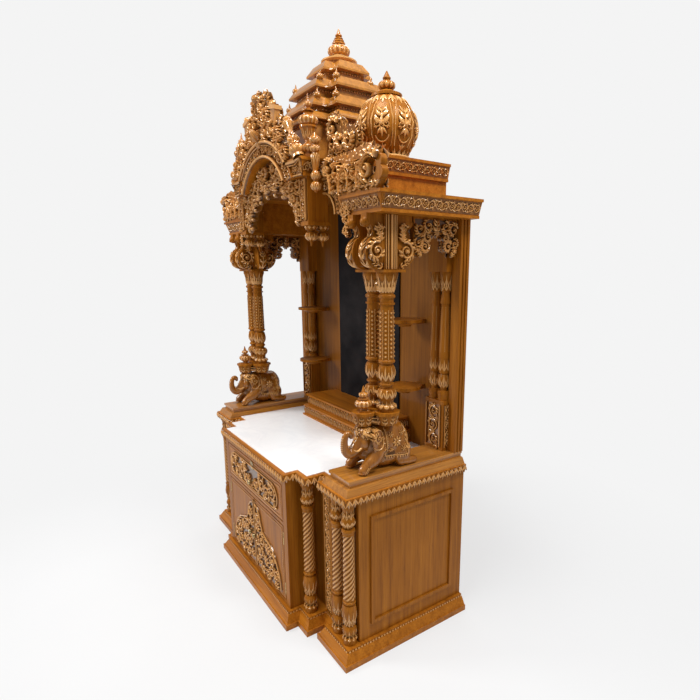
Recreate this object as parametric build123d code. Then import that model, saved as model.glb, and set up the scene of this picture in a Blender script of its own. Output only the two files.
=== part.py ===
"""Carved teak home temple (pooja mandir): cabinet base, open shrine, canopy and tiered roof.

Millimetres. +Z is up, +X is the temple's right side seen from the front, -Y is the front.
The origin lies on the floor, at the middle of the width and of the depth of the side wings.
"""
import math
import os

from build123d import *

os.makedirs("parts", exist_ok=True)

# Plan of the base at the floor
BASE_WIDTH = 1424
BASE_DEPTH = 604
CENTRE_WIDTH = 772
CENTRE_PROUD = 83
STEP_WIDTH = 79
STEP_PROUD = 30
RECESS_WIDTH = 27
RECESS_DEPTH = 48

# Heights of the base
PLINTH_HEIGHT = 63
PLINTH_BOARD = 24
PLINTH_BEAD = 9
PLINTH_INSET = 26
BASE_HEIGHT = 662
TOP_THICK = 32
TOP_EDGE = 18
TOP_INSET = 26
TOP_WING_REACH = 34

# Walls and boards
WALL = 18
BODY_INSET = 39
FRAME_MARGIN_FRONT = 50
FRAME_MARGIN_BACK = 59
FRAME_MARGIN_LOW = 60
FRAME_MARGIN_TOP = 63
FRAME_WIDTH = 14
WING_FACE_SETBACK = 86
PANEL_PROUD = 8
CARVED_PANEL_WIDTH = 105

# Cabinet front
STILE = 35
TOP_RAIL = 25
BOTTOM_RAIL = 17
MID_RAIL = 14
DRAWER_HEIGHT = 164
FRONT_BOARD = 20
RUN_GAP = 5
SEAT_GAP = 0.3
DRAWER_DEPTH = 460
DRAWER_SIDE = 12
DRAWER_BOTTOM = 8
RUNNER_WIDTH = 20
KNOB_RADIUS = 11
KNOB_REACH = 26
KNOB_SETBACK = 24
LOCK_WIDTH = 26
LOCK_HEIGHT = 34
LOCK_THICK = 3
HINGE_RADIUS = 2.2
HINGE_LEAF = 1.6
HINGE_KNUCKLE = 18
HINGE_MARGIN = 45

# Marble slab
MARBLE_THICK = 18
MARBLE_PROUD = 3
MARBLE_MARGIN = 19

# Wing steps that carry the elephants
STEP_LOW_HEIGHT = 24
STEP_TOP_HEIGHT = 25
STEP_LOW_INSET = 9
STEP_LOW_SLOPE = 14
STEP_TOP_FRONT = 58
STEP_TOP_INNER_INSET = 198
STEP_TOP_OUTER_INSET = 54
STEP_NOSING = 5

# Spiral columns of the base
BASE_COLUMN_RADIUS = 21
BASE_COLUMN_SETBACK = 58
CORNER_COLUMN_INSET = 64
INNER_COLUMN_INSET = 142
STEP_COLUMN_INSET = 66
STEP_COLUMN_SETBACK = 24

# Platform for the deities
PLATFORM_WIDTH = 692
PLATFORM_DEPTH = 200
PLATFORM_HEIGHT = 117
PLATFORM_STEP = 16

# Back wall and what stands against it
BACK_PANEL_THICK = 6
SHELF_RADIUS = 76
SHELF_THICK = 30
SHELF_STAND_OFF = 14
SHELF_NECK_WIDTH = 60
SHELF_PANEL_GAP = 72
SHELF_PILASTER_GAP = 154
SHELF_LOW_RISE = 291
SHELF_HIGH_RISE = 574
PILASTER_INSET = 150
PILASTER_SPACING = 54
PILASTER_RADIUS = 20
PILASTER_BLOCK_HEIGHT = 210
BACK_POST_WIDTH = 44
BACK_POST_DEPTH = 46
BACK_POST_INSET = 50

# Elephants, pedestals and front columns
COLUMN_INSET = 125
COLUMN_SPACING = 82
COLUMN_Y = 242
COLUMN_HEIGHT = 495
COLUMN_RADIUS = 24
ELEPHANT_FRONT = 60
ELEPHANT_LENGTH = 318
ELEPHANT_WIDTH = 132
ELEPHANT_HEIGHT = 175
SADDLE_THICK = 3
PEDESTAL_HEIGHT = 50
PEDESTAL_WIDTH = 94
FRONT_PEDESTAL_Y = 168
FRONT_PEDESTAL_WIDTH = 84
KALASH_HEIGHT = 96
KALASH_RADIUS = 30

# Brackets over the columns
ABACUS_THICK = 9
ABACUS_LENGTH = 176
ABACUS_WIDTH = 92
BRACKET_HEIGHT = 181
BRACKET_BALL = 18
POST_LENGTH = 128
POST_WIDTH = 56
BRACKET_REACH = 74
BRACKET_WIDTH = 46
BRACKET_CLEAR = 6
SIDE_VALANCE_OUT = 30
SIDE_VALANCE_THICK = 20
SIDE_VALANCE_FOOT = 30
SIDE_VALANCE_LOW = 46
SIDE_VALANCE_CROWN = 52
SIDE_VALANCE_LOBE = 12

# Cornices of the wings
CORNICE_HEIGHT = 66
CORNICE_FLARE = 22
CORNICE_FILLET = 10
WING_CORNICE_PROUD = 12
WING_CORNICE_FRONT = 144
RISER_HEIGHT = 83
RISER_WIDTH = 51
RISER_FRONT = 190
UPPER_HEIGHT = 63
UPPER_OVERHANG = 24
UPPER_FRONT = 170
UPPER_FLARE = 15

# Canopy in front of the roof
CANOPY_INSET = 360
CANOPY_FRONT = 67
ARCH_SHOULDER = 47
ARCH_BAND = 65
ARCH_DROP_SHARE = 0.433
SOFFIT_THICK = 16
APRON_WIDTH = 52
APRON_DEPTH = 84
APRON_LENGTH = 170
APRON_SETBACK = 98
PENDANT_HEIGHT = 74
PENDANT_RADIUS = 24
VALANCE_THICK = 20
VALANCE_SETBACK = 112
VALANCE_BAND = 58
VALANCE_FOOT = 20
VALANCE_CROWN_DEPTH = 140
VALANCE_LOBE = 16

# Half arches over the wing fronts
WING_ARCH_SPAN = 120
WING_ARCH_BAND = 60
WING_ARCH_DEPTH = 45

# Crest and ornaments of the canopy
CREST_HEIGHT = 309
CREST_MARGIN = 67
CREST_THICK = 34
CREST_SETBACK = 74
KEYSTONE_WIDTH = 28
KEYSTONE_REACH = 44
KEYSTONE_RISE = 44
URN_HEIGHT = 216
URN_RADIUS = 34
URN_INSET = 27
URN_SETBACK = 114
HORN_LENGTH = 186
HORN_RADIUS = 21
HORN_LEAN = 50
HORN_SETBACK = 51
DROP_RADIUS = 18
DROP_HEIGHT = 200
DROP_RISE = 78
DROP_SETBACK = 46
SCROLL_THICK = 24
SCROLL_HEIGHT = 130
SCROLL_CLEAR = 18
SCROLL_EYE = 27
WING_CREST_THICK = 20
WING_CREST_HEIGHT = 140
WING_CREST_CLEAR = 10
WING_CREST_SETBACK = 5
WING_CREST_EYE = 17

# Tiered roof
ROOF_CENTRE_Y = 444
ROOF_TIERS = [
    # arm half width, reach, wall height, eave height
    (158, 228, 240, 30),
    (140, 208, 24, 40),
    (122, 184, 36, 40),
    (76, 120, 47, 40),
]
EAVE_OVERHANG = 26
EAVE_LANDING = 4
DISC_RADIUS = 62
CROWN_HEIGHT = 157
TIER_FINIAL_HEIGHT = 50
TIER_FINIAL_RADIUS = 15
TIER_FINIAL_INSET = 14
TIER_FINIAL_SETBACK = 28

# Domes over the wings
DOME_Y = 370
DOME_RADIUS = 109
DOME_FOOT_RADIUS = 72
DOME_FOOT_HEIGHT = 16
DOME_CAP_RADIUS = 49
DOME_HEIGHT = 213
DOME_CAP_HEIGHT = 89
DOME_RIBS = 8
DOME_RIB_WIDTH = 9
DOME_RIB_PROUD = 3

# Values worked out from the sizes above
BACK = BASE_DEPTH / 2
FRONT = -BASE_DEPTH / 2
WING_OUT = BASE_WIDTH / 2
CENTRE_OUT = CENTRE_WIDTH / 2
STEP_OUT = CENTRE_OUT + STEP_WIDTH
WING_IN = STEP_OUT + RECESS_WIDTH
BODY_BOTTOM = PLINTH_HEIGHT
BODY_TOP = BASE_HEIGHT - TOP_THICK
CABINET_OUT = CENTRE_OUT - BODY_INSET
CABINET_FRONT = FRONT - CENTRE_PROUD + BODY_INSET
WING_BODY_OUT = WING_OUT - BODY_INSET
WING_BODY_FRONT = FRONT + WING_FACE_SETBACK
MARBLE_TOP = BASE_HEIGHT + MARBLE_PROUD
STEP_TOP = BASE_HEIGHT + STEP_LOW_HEIGHT + STEP_TOP_HEIGHT
STEP_TOP_INNER = WING_OUT - STEP_TOP_INNER_INSET
STEP_TOP_OUTER = WING_OUT - STEP_TOP_OUTER_INSET
WALL_FACE = BACK - WALL
PILASTER_X = WING_OUT - PILASTER_INSET
SHELF_X = PILASTER_X - SHELF_PILASTER_GAP
BACK_PANEL_HALF = SHELF_X - SHELF_RADIUS - SHELF_PANEL_GAP
BACK_POST_OUTER = WING_OUT - BACK_POST_INSET
COLUMN_X = WING_OUT - COLUMN_INSET
PEDESTAL_LOW = STEP_TOP + ELEPHANT_HEIGHT
COLUMN_BASE = PEDESTAL_LOW + PEDESTAL_HEIGHT
CAPITAL_TOP = COLUMN_BASE + COLUMN_HEIGHT
BRACKET_LOW = CAPITAL_TOP + ABACUS_THICK
CORNICE_BOTTOM = BRACKET_LOW + BRACKET_HEIGHT
CORNICE_TOP = CORNICE_BOTTOM + CORNICE_HEIGHT
UPPER_BOTTOM = CORNICE_TOP + RISER_HEIGHT
UPPER_TOP = UPPER_BOTTOM + UPPER_HEIGHT
CANOPY_HALF_WIDTH = WING_OUT - CANOPY_INSET
WING_CORNICE_OUTER = WING_OUT + WING_CORNICE_PROUD
WING_CORNICE_INNER = CANOPY_HALF_WIDTH + WING_ARCH_SPAN
RISER_OUTER = WING_CORNICE_INNER + RISER_WIDTH
UPPER_OUTER = RISER_OUTER + UPPER_OVERHANG
ARCH_RADIUS = CANOPY_HALF_WIDTH - ARCH_SHOULDER
ARCH_CENTRE_HEIGHT = UPPER_BOTTOM - ARCH_RADIUS * ARCH_DROP_SHARE
APRON_BOTTOM = UPPER_BOTTOM - APRON_LENGTH
OPENING_HALF = CABINET_OUT - STILE
DRAWER_TOP = BODY_TOP - TOP_RAIL
DRAWER_LOW = DRAWER_TOP - DRAWER_HEIGHT
DOOR_TOP = DRAWER_LOW - MID_RAIL
DOOR_LOW = BODY_BOTTOM + BOTTOM_RAIL
ROOF_BOTTOM = UPPER_BOTTOM + SOFFIT_THICK
ROOF_TOP = ROOF_BOTTOM + sum(wall + eave for arm, reach, wall, eave in ROOF_TIERS)
DOME_X = (CANOPY_HALF_WIDTH + UPPER_OUTER) / 2


def block(x_range, y_range, z_range):
    """Box between two limits along each axis."""
    size = [high - low for low, high in (x_range, y_range, z_range)]
    middle = [(low + high) / 2 for low, high in (x_range, y_range, z_range)]
    return Pos(*middle) * Box(*size)


def both_sides(shape):
    """The shape and its mirror image on the other side of the temple, as two solids."""
    return Compound(children=[shape, mirror(shape, about=Plane.YZ)])


def plate(points, low, high):
    """Flat polygon raised from one height to another."""
    face = make_face(Polyline(*points, close=True))
    return Pos(0, 0, low) * extrude(face, high - low)


def tapered(low_points, high_points, low, high):
    """Solid with flat sloping sides between two polygons of as many corners."""
    lower = Pos(0, 0, low) * make_face(Polyline(*low_points, close=True))
    upper = Pos(0, 0, high) * make_face(Polyline(*high_points, close=True))
    return loft([lower, upper], ruled=True)


def rectangle(x_range, y_range, inset=0.0, inset_back=0.0, inset_inner=None):
    """Corners of a rectangle, drawn in by an inset; the back and the inner side have their own."""
    inner = inset if inset_inner is None else inset_inner
    left, right = x_range[0] + inner, x_range[1] - inset
    near, far = y_range[0] + inset, y_range[1] - inset_back
    return [(left, near), (right, near), (right, far), (left, far)]


def turned(steps, foot=(0, 0, 0)):
    """Turned piece on a vertical axis.

    Each step is (kind, radius, height). A straight step is a cylinder, a taper runs to the new
    radius, and a bead swells out to the radius and comes back to where it began.
    """
    edges = []
    radius, height = steps[0][1], 0.0
    edges.append(Line((0, 0), (radius, 0)))
    for kind, new_radius, rise in steps:
        if kind == "bead":
            middle = (new_radius, height + rise / 2)
            edges.append(ThreePointArc((radius, height), middle, (radius, height + rise)))
        elif kind == "taper":
            edges.append(Line((radius, height), (new_radius, height + rise)))
            radius = new_radius
        else:
            if abs(new_radius - radius) > 0.001:
                edges.append(Line((radius, height), (new_radius, height)))
                radius = new_radius
            edges.append(Line((radius, height), (radius, height + rise)))
        height += rise
    if radius > 0.001:
        edges.append(Line((radius, height), (0, height)))
    edges.append(Line((0, height), (0, 0)))
    profile = Plane.XZ * make_face(Wire(edges))
    return Pos(*foot) * revolve(profile, Axis.Z)


def scaled_steps(steps, radius, height):
    """Steps of a turned piece, given as shares of its radius and height, at their real size."""
    return [(kind, share * radius, rise * height) for kind, share, rise in steps]


def save(node, shape):
    """Write one node as a STEP file."""
    shape.label = node
    export_step(shape, f"parts/{node}.step")


def base_outline(inset, wing_reach=0.0):
    """Plan of the stepped base, drawn in by an inset on every side but the back."""
    right = [
        (CENTRE_OUT - inset, FRONT - CENTRE_PROUD + inset),
        (CENTRE_OUT - inset, FRONT - STEP_PROUD + inset),
        (STEP_OUT - inset, FRONT - STEP_PROUD + inset),
        (STEP_OUT - inset, FRONT + RECESS_DEPTH + inset),
        (WING_IN + inset - wing_reach, FRONT + RECESS_DEPTH + inset),
        (WING_IN + inset - wing_reach, FRONT + inset),
        (WING_OUT - inset, FRONT + inset),
        (WING_OUT - inset, BACK),
    ]
    left = [(-x, y) for x, y in reversed(right)]
    return right + left


def plinth():
    """Moulded foot of the base: a square board, a sloping moulding and a narrow top member."""
    slope_top = PLINTH_HEIGHT - PLINTH_BEAD
    board = plate(base_outline(0), 0, PLINTH_BOARD)
    slope = tapered(base_outline(PLINTH_INSET * 0.2), base_outline(PLINTH_INSET * 0.85),
                    PLINTH_BOARD, slope_top)
    top = plate(base_outline(PLINTH_INSET), slope_top, PLINTH_HEIGHT)
    return board + slope + top


def base_sides():
    """Closed side boxes of the base with a framed outer panel and a carved strip in front."""
    depth = (WING_BODY_FRONT, BACK)
    box = block((CABINET_OUT, WING_BODY_OUT), depth, (BODY_BOTTOM, BODY_TOP))
    hollow = block((CABINET_OUT + WALL, WING_BODY_OUT - WALL),
                   (WING_BODY_FRONT + WALL, BACK - WALL), (BODY_BOTTOM, BODY_TOP))
    frame_y = (WING_BODY_FRONT + FRAME_MARGIN_FRONT, BACK - FRAME_MARGIN_BACK)
    frame_z = (BODY_BOTTOM + FRAME_MARGIN_LOW, BODY_TOP - FRAME_MARGIN_TOP)
    face_x = (WING_BODY_OUT, WING_BODY_OUT + PANEL_PROUD)
    frame = block(face_x, frame_y, frame_z)
    field = block(face_x, (frame_y[0] + FRAME_WIDTH, frame_y[1] - FRAME_WIDTH),
                  (frame_z[0] + FRAME_WIDTH, frame_z[1] - FRAME_WIDTH))
    strip_x = (STEP_OUT - PLINTH_INSET + 2, STEP_OUT - PLINTH_INSET + 2 + CARVED_PANEL_WIDTH)
    strip = block(strip_x, (WING_BODY_FRONT - PANEL_PROUD, WING_BODY_FRONT),
                  (BODY_BOTTOM, BODY_TOP))
    return both_sides(box - hollow + (frame - field) + strip)


def cabinet_carcass():
    """Open-fronted case with a bay for the drawer over a bay for the doors."""
    outer = block((-CABINET_OUT, CABINET_OUT), (CABINET_FRONT, BACK), (BODY_BOTTOM, BODY_TOP))
    inside_x = (WALL - CABINET_OUT, CABINET_OUT - WALL)
    inside_y = (CABINET_FRONT + WALL, BACK - WALL)
    case = outer - block(inside_x, inside_y, (BODY_BOTTOM, DOOR_TOP))
    case -= block(inside_x, inside_y, (DRAWER_LOW, BODY_TOP))
    face_x = (-OPENING_HALF, OPENING_HALF)
    face_y = (CABINET_FRONT, CABINET_FRONT + WALL)
    case -= block(face_x, face_y, (DOOR_LOW, DOOR_TOP))
    case -= block(face_x, face_y, (DRAWER_LOW, DRAWER_TOP))
    runner_y = (CABINET_FRONT + WALL, CABINET_FRONT + FRONT_BOARD + DRAWER_DEPTH)
    runner_z = (DRAWER_LOW, DRAWER_LOW + RUN_GAP - SEAT_GAP)
    for side in (-1, 1):
        outer_x = side * (OPENING_HALF - RUN_GAP)
        inner_x = side * (OPENING_HALF - RUN_GAP - RUNNER_WIDTH)
        case += block(sorted((inner_x, outer_x)), runner_y, runner_z)
    return case


def drawer():
    """Drawer with a thick carved front board and a plain open box behind it."""
    half = OPENING_HALF - RUN_GAP
    low, high = DRAWER_LOW + RUN_GAP, DRAWER_TOP - RUN_GAP
    front = block((-half, half), (CABINET_FRONT, CABINET_FRONT + FRONT_BOARD), (low, high))
    box_y = (CABINET_FRONT + FRONT_BOARD, CABINET_FRONT + FRONT_BOARD + DRAWER_DEPTH)
    box = block((-half, half), box_y, (low, high - DRAWER_SIDE))
    box -= block((DRAWER_SIDE - half, half - DRAWER_SIDE),
                 (box_y[0], box_y[1] - DRAWER_SIDE), (low + DRAWER_BOTTOM, high))
    return front + box


def knob(x, z, reach=KNOB_REACH):
    """Ball knob on a short neck that stands out of a front board."""
    steps = scaled_steps([("straight", 0.8, 0.12), ("straight", 0.4, 0.28), ("bead", 1.0, 0.6)],
                         KNOB_RADIUS, reach)
    return Pos(x, CABINET_FRONT, z) * Rot(90, 0, 0) * turned(steps)


def drawer_fittings():
    """Brass knob and lock plate of the drawer."""
    lock_z = (DRAWER_TOP - RUN_GAP - LOCK_HEIGHT, DRAWER_TOP - RUN_GAP)
    lock = block((-LOCK_WIDTH / 2, LOCK_WIDTH / 2), (CABINET_FRONT - LOCK_THICK, CABINET_FRONT),
                 lock_z)
    return Compound(children=[knob(0, DRAWER_LOW + DRAWER_HEIGHT * 0.4), lock])


def door(side):
    """Cupboard door, side 1 for the right one and -1 for the left one."""
    x_range = sorted((side * RUN_GAP / 2, side * (OPENING_HALF - RUN_GAP)))
    return block(x_range, (CABINET_FRONT, CABINET_FRONT + FRONT_BOARD),
                 (DOOR_LOW + RUN_GAP, DOOR_TOP - RUN_GAP))


def hinge_heights():
    """Lower ends of the middle knuckles of a door's two hinges."""
    return [DOOR_LOW + RUN_GAP + HINGE_MARGIN, DOOR_TOP - RUN_GAP - HINGE_MARGIN - HINGE_KNUCKLE]


def knuckle(side, low, leaf_reach):
    """Hinge barrel on the pin line with a leaf that reaches to the wood beside it."""
    pin_x = side * (OPENING_HALF - RUN_GAP / 2)
    barrel = Pos(pin_x, CABINET_FRONT, low + HINGE_KNUCKLE / 2)
    barrel = barrel * Cylinder(HINGE_RADIUS, HINGE_KNUCKLE)
    leaf = block(sorted((pin_x, pin_x + leaf_reach)),
                 (CABINET_FRONT, CABINET_FRONT + HINGE_LEAF), (low, low + HINGE_KNUCKLE))
    return barrel + leaf


def door_fittings(side):
    """Brass knob and the moving knuckles of one door."""
    pieces = [knob(side * KNOB_SETBACK, (DOOR_LOW + DOOR_TOP) / 2)]
    for low in hinge_heights():
        pieces.append(knuckle(side, low, -side * RUN_GAP / 2))
    return Compound(children=pieces)


def frame_hinges():
    """Fixed knuckles above and below each moving one."""
    pieces = []
    for side in (-1, 1):
        for low in hinge_heights():
            for start in (low - HINGE_KNUCKLE - SEAT_GAP, low + HINGE_KNUCKLE + SEAT_GAP):
                pieces.append(knuckle(side, start, side * RUN_GAP / 2))
    return Compound(children=pieces)


SPIRAL_COLUMN = [
    ("straight", 1.2, 0.025), ("bead", 1.3, 0.03), ("straight", 0.75, 0.01),
    ("bead", 1.25, 0.075), ("straight", 0.8, 0.01), ("bead", 1.05, 0.02), ("taper", 1.12, 0.02),
    ("bead", 1.3, 0.1), ("straight", 0.95, 0.01), ("bead", 1.2, 0.02), ("straight", 1.0, 0.008),
    ("taper", 0.85, 0.46), ("straight", 1.05, 0.014), ("bead", 1.2, 0.03),
    ("straight", 0.72, 0.012), ("bead", 1.22, 0.07), ("straight", 0.8, 0.01),
    ("bead", 1.0, 0.016), ("taper", 1.15, 0.04), ("straight", 1.25, 0.02),
]


def base_columns():
    """Three turned columns on each side of the base."""
    places = [
        (WING_OUT - CORNER_COLUMN_INSET, FRONT + BASE_COLUMN_SETBACK),
        (WING_OUT - INNER_COLUMN_INSET, FRONT + BASE_COLUMN_SETBACK),
        (STEP_OUT - STEP_COLUMN_INSET, FRONT + STEP_COLUMN_SETBACK),
    ]
    steps = scaled_steps(SPIRAL_COLUMN, BASE_COLUMN_RADIUS, BODY_TOP - BODY_BOTTOM)
    column = turned(steps)
    pieces = []
    for x, y in places:
        pieces.append(Pos(x, y, BODY_BOTTOM) * column)
        pieces.append(Pos(-x, y, BODY_BOTTOM) * column)
    return Compound(children=pieces)


def marble_outline(margin):
    """Plan of the marble slab inside the moulded edge, up to the wing steps."""
    inset = TOP_INSET + margin
    right = [
        (CENTRE_OUT - inset, FRONT - CENTRE_PROUD + inset),
        (CENTRE_OUT - inset, FRONT - STEP_PROUD + inset),
        (STEP_OUT - inset, FRONT - STEP_PROUD + inset),
        (STEP_OUT - inset, FRONT + RECESS_DEPTH + inset),
        (STEP_TOP_INNER - STEP_LOW_SLOPE, FRONT + RECESS_DEPTH + inset),
        (STEP_TOP_INNER - STEP_LOW_SLOPE, WALL_FACE),
    ]
    left = [(-x, y) for x, y in reversed(right)]
    return right + left


def base_top():
    """Thick top board with a moulded edge and a recess for the marble."""
    edge_low = BASE_HEIGHT - TOP_EDGE
    cove = tapered(base_outline(BODY_INSET - 4, TOP_WING_REACH),
                   base_outline(TOP_INSET + 3, TOP_WING_REACH), BODY_TOP, edge_low)
    edge = plate(base_outline(TOP_INSET, TOP_WING_REACH), edge_low, BASE_HEIGHT)
    recess = plate(marble_outline(MARBLE_MARGIN), MARBLE_TOP - MARBLE_THICK, BASE_HEIGHT)
    return cove + edge - recess


def marble_top():
    """Marble slab let into the top board."""
    return plate(marble_outline(MARBLE_MARGIN), MARBLE_TOP - MARBLE_THICK, MARBLE_TOP)


def wing_steps():
    """Two-stage step on each wing that carries an elephant and the back posts."""
    depth = (FRONT + TOP_INSET, BACK)
    low_x = (STEP_TOP_INNER - STEP_LOW_SLOPE, WING_OUT - TOP_INSET)
    low_outline = rectangle(low_x, depth, STEP_LOW_INSET, 0, 0)
    high_outline = rectangle(low_x, depth, STEP_LOW_INSET + STEP_LOW_SLOPE, 0, 8)
    low_top = BASE_HEIGHT + STEP_LOW_HEIGHT
    low = tapered(low_outline, high_outline, BASE_HEIGHT, low_top)
    top_x = (STEP_TOP_INNER, STEP_TOP_OUTER)
    top_y = (FRONT + STEP_TOP_FRONT, BACK)
    neck = plate(rectangle(top_x, top_y, STEP_NOSING, 0), low_top, STEP_TOP - STEP_NOSING * 2)
    nosing = plate(rectangle(top_x, top_y), STEP_TOP - STEP_NOSING * 2, STEP_TOP)
    return both_sides(low + neck + nosing)


def deity_platform():
    """Two-stage platform in front of the back wall."""
    half = PLATFORM_WIDTH / 2
    y_range = (WALL_FACE - PLATFORM_DEPTH, WALL_FACE)
    middle = MARBLE_TOP + PLATFORM_HEIGHT * 0.5
    top = MARBLE_TOP + PLATFORM_HEIGHT
    lip = 8

    def stage(inset, low, high):
        outline = rectangle((-half, half), y_range, inset, 0)
        return plate(outline, low, high)

    body = stage(0, MARBLE_TOP, MARBLE_TOP + lip)
    body += stage(lip, MARBLE_TOP + lip, middle - lip)
    body += stage(lip / 2, middle - lip, middle)
    body += stage(PLATFORM_STEP + lip, middle, top - lip)
    body += stage(PLATFORM_STEP, top - lip, top)
    return body


def back_wall():
    """Wooden back of the shrine, with a higher middle part behind the roof."""
    low = block((-BACK_POST_OUTER + BACK_POST_WIDTH, BACK_POST_OUTER - BACK_POST_WIDTH),
                (WALL_FACE, BACK), (STEP_TOP, CORNICE_BOTTOM))
    foot_half = STEP_TOP_INNER - STEP_LOW_SLOPE
    foot = block((-foot_half, foot_half), (WALL_FACE, BACK), (BASE_HEIGHT, STEP_TOP))
    high = block((-WING_CORNICE_INNER, WING_CORNICE_INNER), (WALL_FACE, BACK),
                 (CORNICE_BOTTOM, UPPER_BOTTOM))
    return low + foot + high


def back_panel():
    """Dark cloth-covered panel behind the deities."""
    top = UPPER_BOTTOM - SOFFIT_THICK
    return block((-BACK_PANEL_HALF, BACK_PANEL_HALF),
                 (WALL_FACE - BACK_PANEL_THICK, WALL_FACE),
                 (MARBLE_TOP + PLATFORM_HEIGHT, top))


def wall_shelves():
    """Four small round dishes that stand off the back wall on short necks."""
    centre = -(SHELF_STAND_OFF + SHELF_RADIUS)
    steps = scaled_steps([("straight", 0.35, 0.15), ("taper", 0.9, 0.45), ("straight", 1.0, 0.4)],
                         SHELF_RADIUS, SHELF_THICK)
    dish = turned(steps, (0, centre, 0))
    neck = block((-SHELF_NECK_WIDTH / 2, SHELF_NECK_WIDTH / 2), (centre, 0),
                 (SHELF_THICK * 0.3, SHELF_THICK * 0.9))
    pieces = []
    for rise in (SHELF_LOW_RISE, SHELF_HIGH_RISE):
        for side in (-1, 1):
            place = Pos(side * SHELF_X, WALL_FACE, MARBLE_TOP + rise - SHELF_THICK)
            pieces.append(place * (dish + neck))
    return Compound(children=pieces)


PILASTER = [
    ("straight", 1.2, 0.03), ("bead", 1.3, 0.05), ("straight", 0.7, 0.02), ("bead", 1.2, 0.12),
    ("straight", 1.1, 0.02), ("taper", 1.0, 0.1), ("straight", 1.15, 0.02), ("taper", 0.9, 0.4),
    ("straight", 1.1, 0.02), ("taper", 0.85, 0.07), ("bead", 1.05, 0.03), ("taper", 1.25, 0.1),
    ("straight", 1.3, 0.02),
]


def pilasters():
    """Pair of slim columns on a tall block, in front of each end of the back wall."""
    centre_y = WALL_FACE - PILASTER_RADIUS * 1.35
    block_top = STEP_TOP + PILASTER_BLOCK_HEIGHT
    half = PILASTER_SPACING / 2 + PILASTER_RADIUS * 1.35
    stand = block((PILASTER_X - half, PILASTER_X + half),
                  (WALL_FACE - PILASTER_RADIUS * 2.7, WALL_FACE), (STEP_TOP, block_top))
    steps = scaled_steps(PILASTER, PILASTER_RADIUS, CAPITAL_TOP - block_top)
    column = turned(steps)
    for side in (-1, 1):
        x = PILASTER_X + side * PILASTER_SPACING / 2
        stand += Pos(x, centre_y, block_top) * column
    cap = block((PILASTER_X - half, PILASTER_X + half),
                (WALL_FACE - PILASTER_RADIUS * 2.7, WALL_FACE), (CAPITAL_TOP, CORNICE_BOTTOM))
    return both_sides(stand + cap)


def back_posts():
    """Grooved square posts at the outer ends of the back wall."""
    x_range = (BACK_POST_OUTER - BACK_POST_WIDTH, BACK_POST_OUTER)
    y_range = (BACK - BACK_POST_DEPTH, BACK)
    post = block(x_range, y_range, (STEP_TOP, CORNICE_BOTTOM))
    groove = 4
    for share in (0.3, 0.65):
        y = y_range[0] + BACK_POST_DEPTH * share
        post -= block((BACK_POST_OUTER - groove, BACK_POST_OUTER), (y - groove, y + groove),
                      (STEP_TOP, CORNICE_BOTTOM))
    return both_sides(post)


def limb(stations):
    """Smooth tapering limb through (across, along, up, radius) stations."""
    points = [Vector(*station[:3]) for station in stations]
    circles = []
    for index, station in enumerate(stations):
        before = points[max(0, index - 1)]
        after = points[min(len(points) - 1, index + 1)]
        circles.append(Plane(origin=points[index], z_dir=after - before) * Circle(station[3]))
    return loft(circles)


def barrel(stations, grow=0.0):
    """Rounded body through upright ellipses: (along, centre height, half width, half height)."""
    ovals = []
    for along, centre, half_width, half_height in stations:
        plane = Plane(origin=(0, along, centre), x_dir=(1, 0, 0), z_dir=(0, 1, 0))
        ovals.append(plane * Ellipse(half_width + grow, half_height + grow))
    return loft(ovals)


def elephant():
    """Kneeling elephant with its trunk curled up, its feet on the zero level."""
    length, half, height = ELEPHANT_LENGTH, ELEPHANT_WIDTH / 2, ELEPHANT_HEIGHT
    stations = [
        (length * 0.24, height * 0.56, half * 0.62, height * 0.30),
        (length * 0.34, height * 0.52, half * 0.90, height * 0.44),
        (length * 0.60, height * 0.50, half, height * 0.46),
        (length * 0.82, height * 0.47, half * 0.93, height * 0.43),
        (length * 0.94, height * 0.40, half * 0.55, height * 0.30),
    ]
    saddle = barrel(stations, SADDLE_THICK)
    saddle &= block((-half * 2, half * 2), (length * 0.43, length * 0.80),
                    (height * 0.22, height))
    head = Pos(0, length * 0.20, height * 0.64) * Rot(0, 0, 90) * Sphere(half * 0.66)
    trunk = limb([
        (0, length * 0.16, height * 0.56, half * 0.46),
        (0, length * 0.10, height * 0.36, half * 0.32),
        (0, length * 0.045, height * 0.29, half * 0.25),
        (0, length * 0.028, height * 0.40, half * 0.21),
        (0, length * 0.022, height * 0.56, half * 0.18),
        (0, length * 0.035, height * 0.70, half * 0.15),
        (0, length * 0.065, height * 0.79, half * 0.13),
    ])
    belly = block((-half * 0.6, half * 0.6), (length * 0.27, length * 0.90), (0, height * 0.3))
    seat = block((-half * 0.62, half * 0.62), (length * 0.30, length * 0.74),
                 (height * 0.6, height))
    pieces = [belly, seat, head, trunk]
    for side in (-1, 1):
        ear = extrude(Ellipse(height * 0.24, half * 0.46), half * 0.1)
        pieces += [
            Pos(side * half * 0.25, length * 0.195, height * 0.84) * Sphere(half * 0.35),
            Pos(side * half * 0.62, length * 0.29, height * 0.60)
            * Rot(0, 90 + side * 14, side * 20) * ear,
            limb([
                (side * half * 0.50, length * 0.36, height * 0.42, half * 0.42),
                (side * half * 0.54, length * 0.24, height * 0.24, half * 0.33),
                (side * half * 0.55, length * 0.16, height * 0.13, half * 0.27),
                (side * half * 0.55, length * 0.105, height * 0.10, half * 0.28),
            ]),
            Pos(side * half * 0.60, length * 0.78, height * 0.30) * Sphere(half * 0.48),
            limb([
                (side * half * 0.64, length * 0.74, height * 0.12, half * 0.26),
                (side * half * 0.66, length * 0.88, height * 0.10, half * 0.23),
                (side * half * 0.66, length * 0.985, height * 0.10, half * 0.25),
            ]),
        ]
    creature = barrel(stations)
    for piece in pieces + [saddle]:
        creature += piece
    return creature - block((-half * 2, half * 2), (-length, length * 2), (-height, 0))


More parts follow.
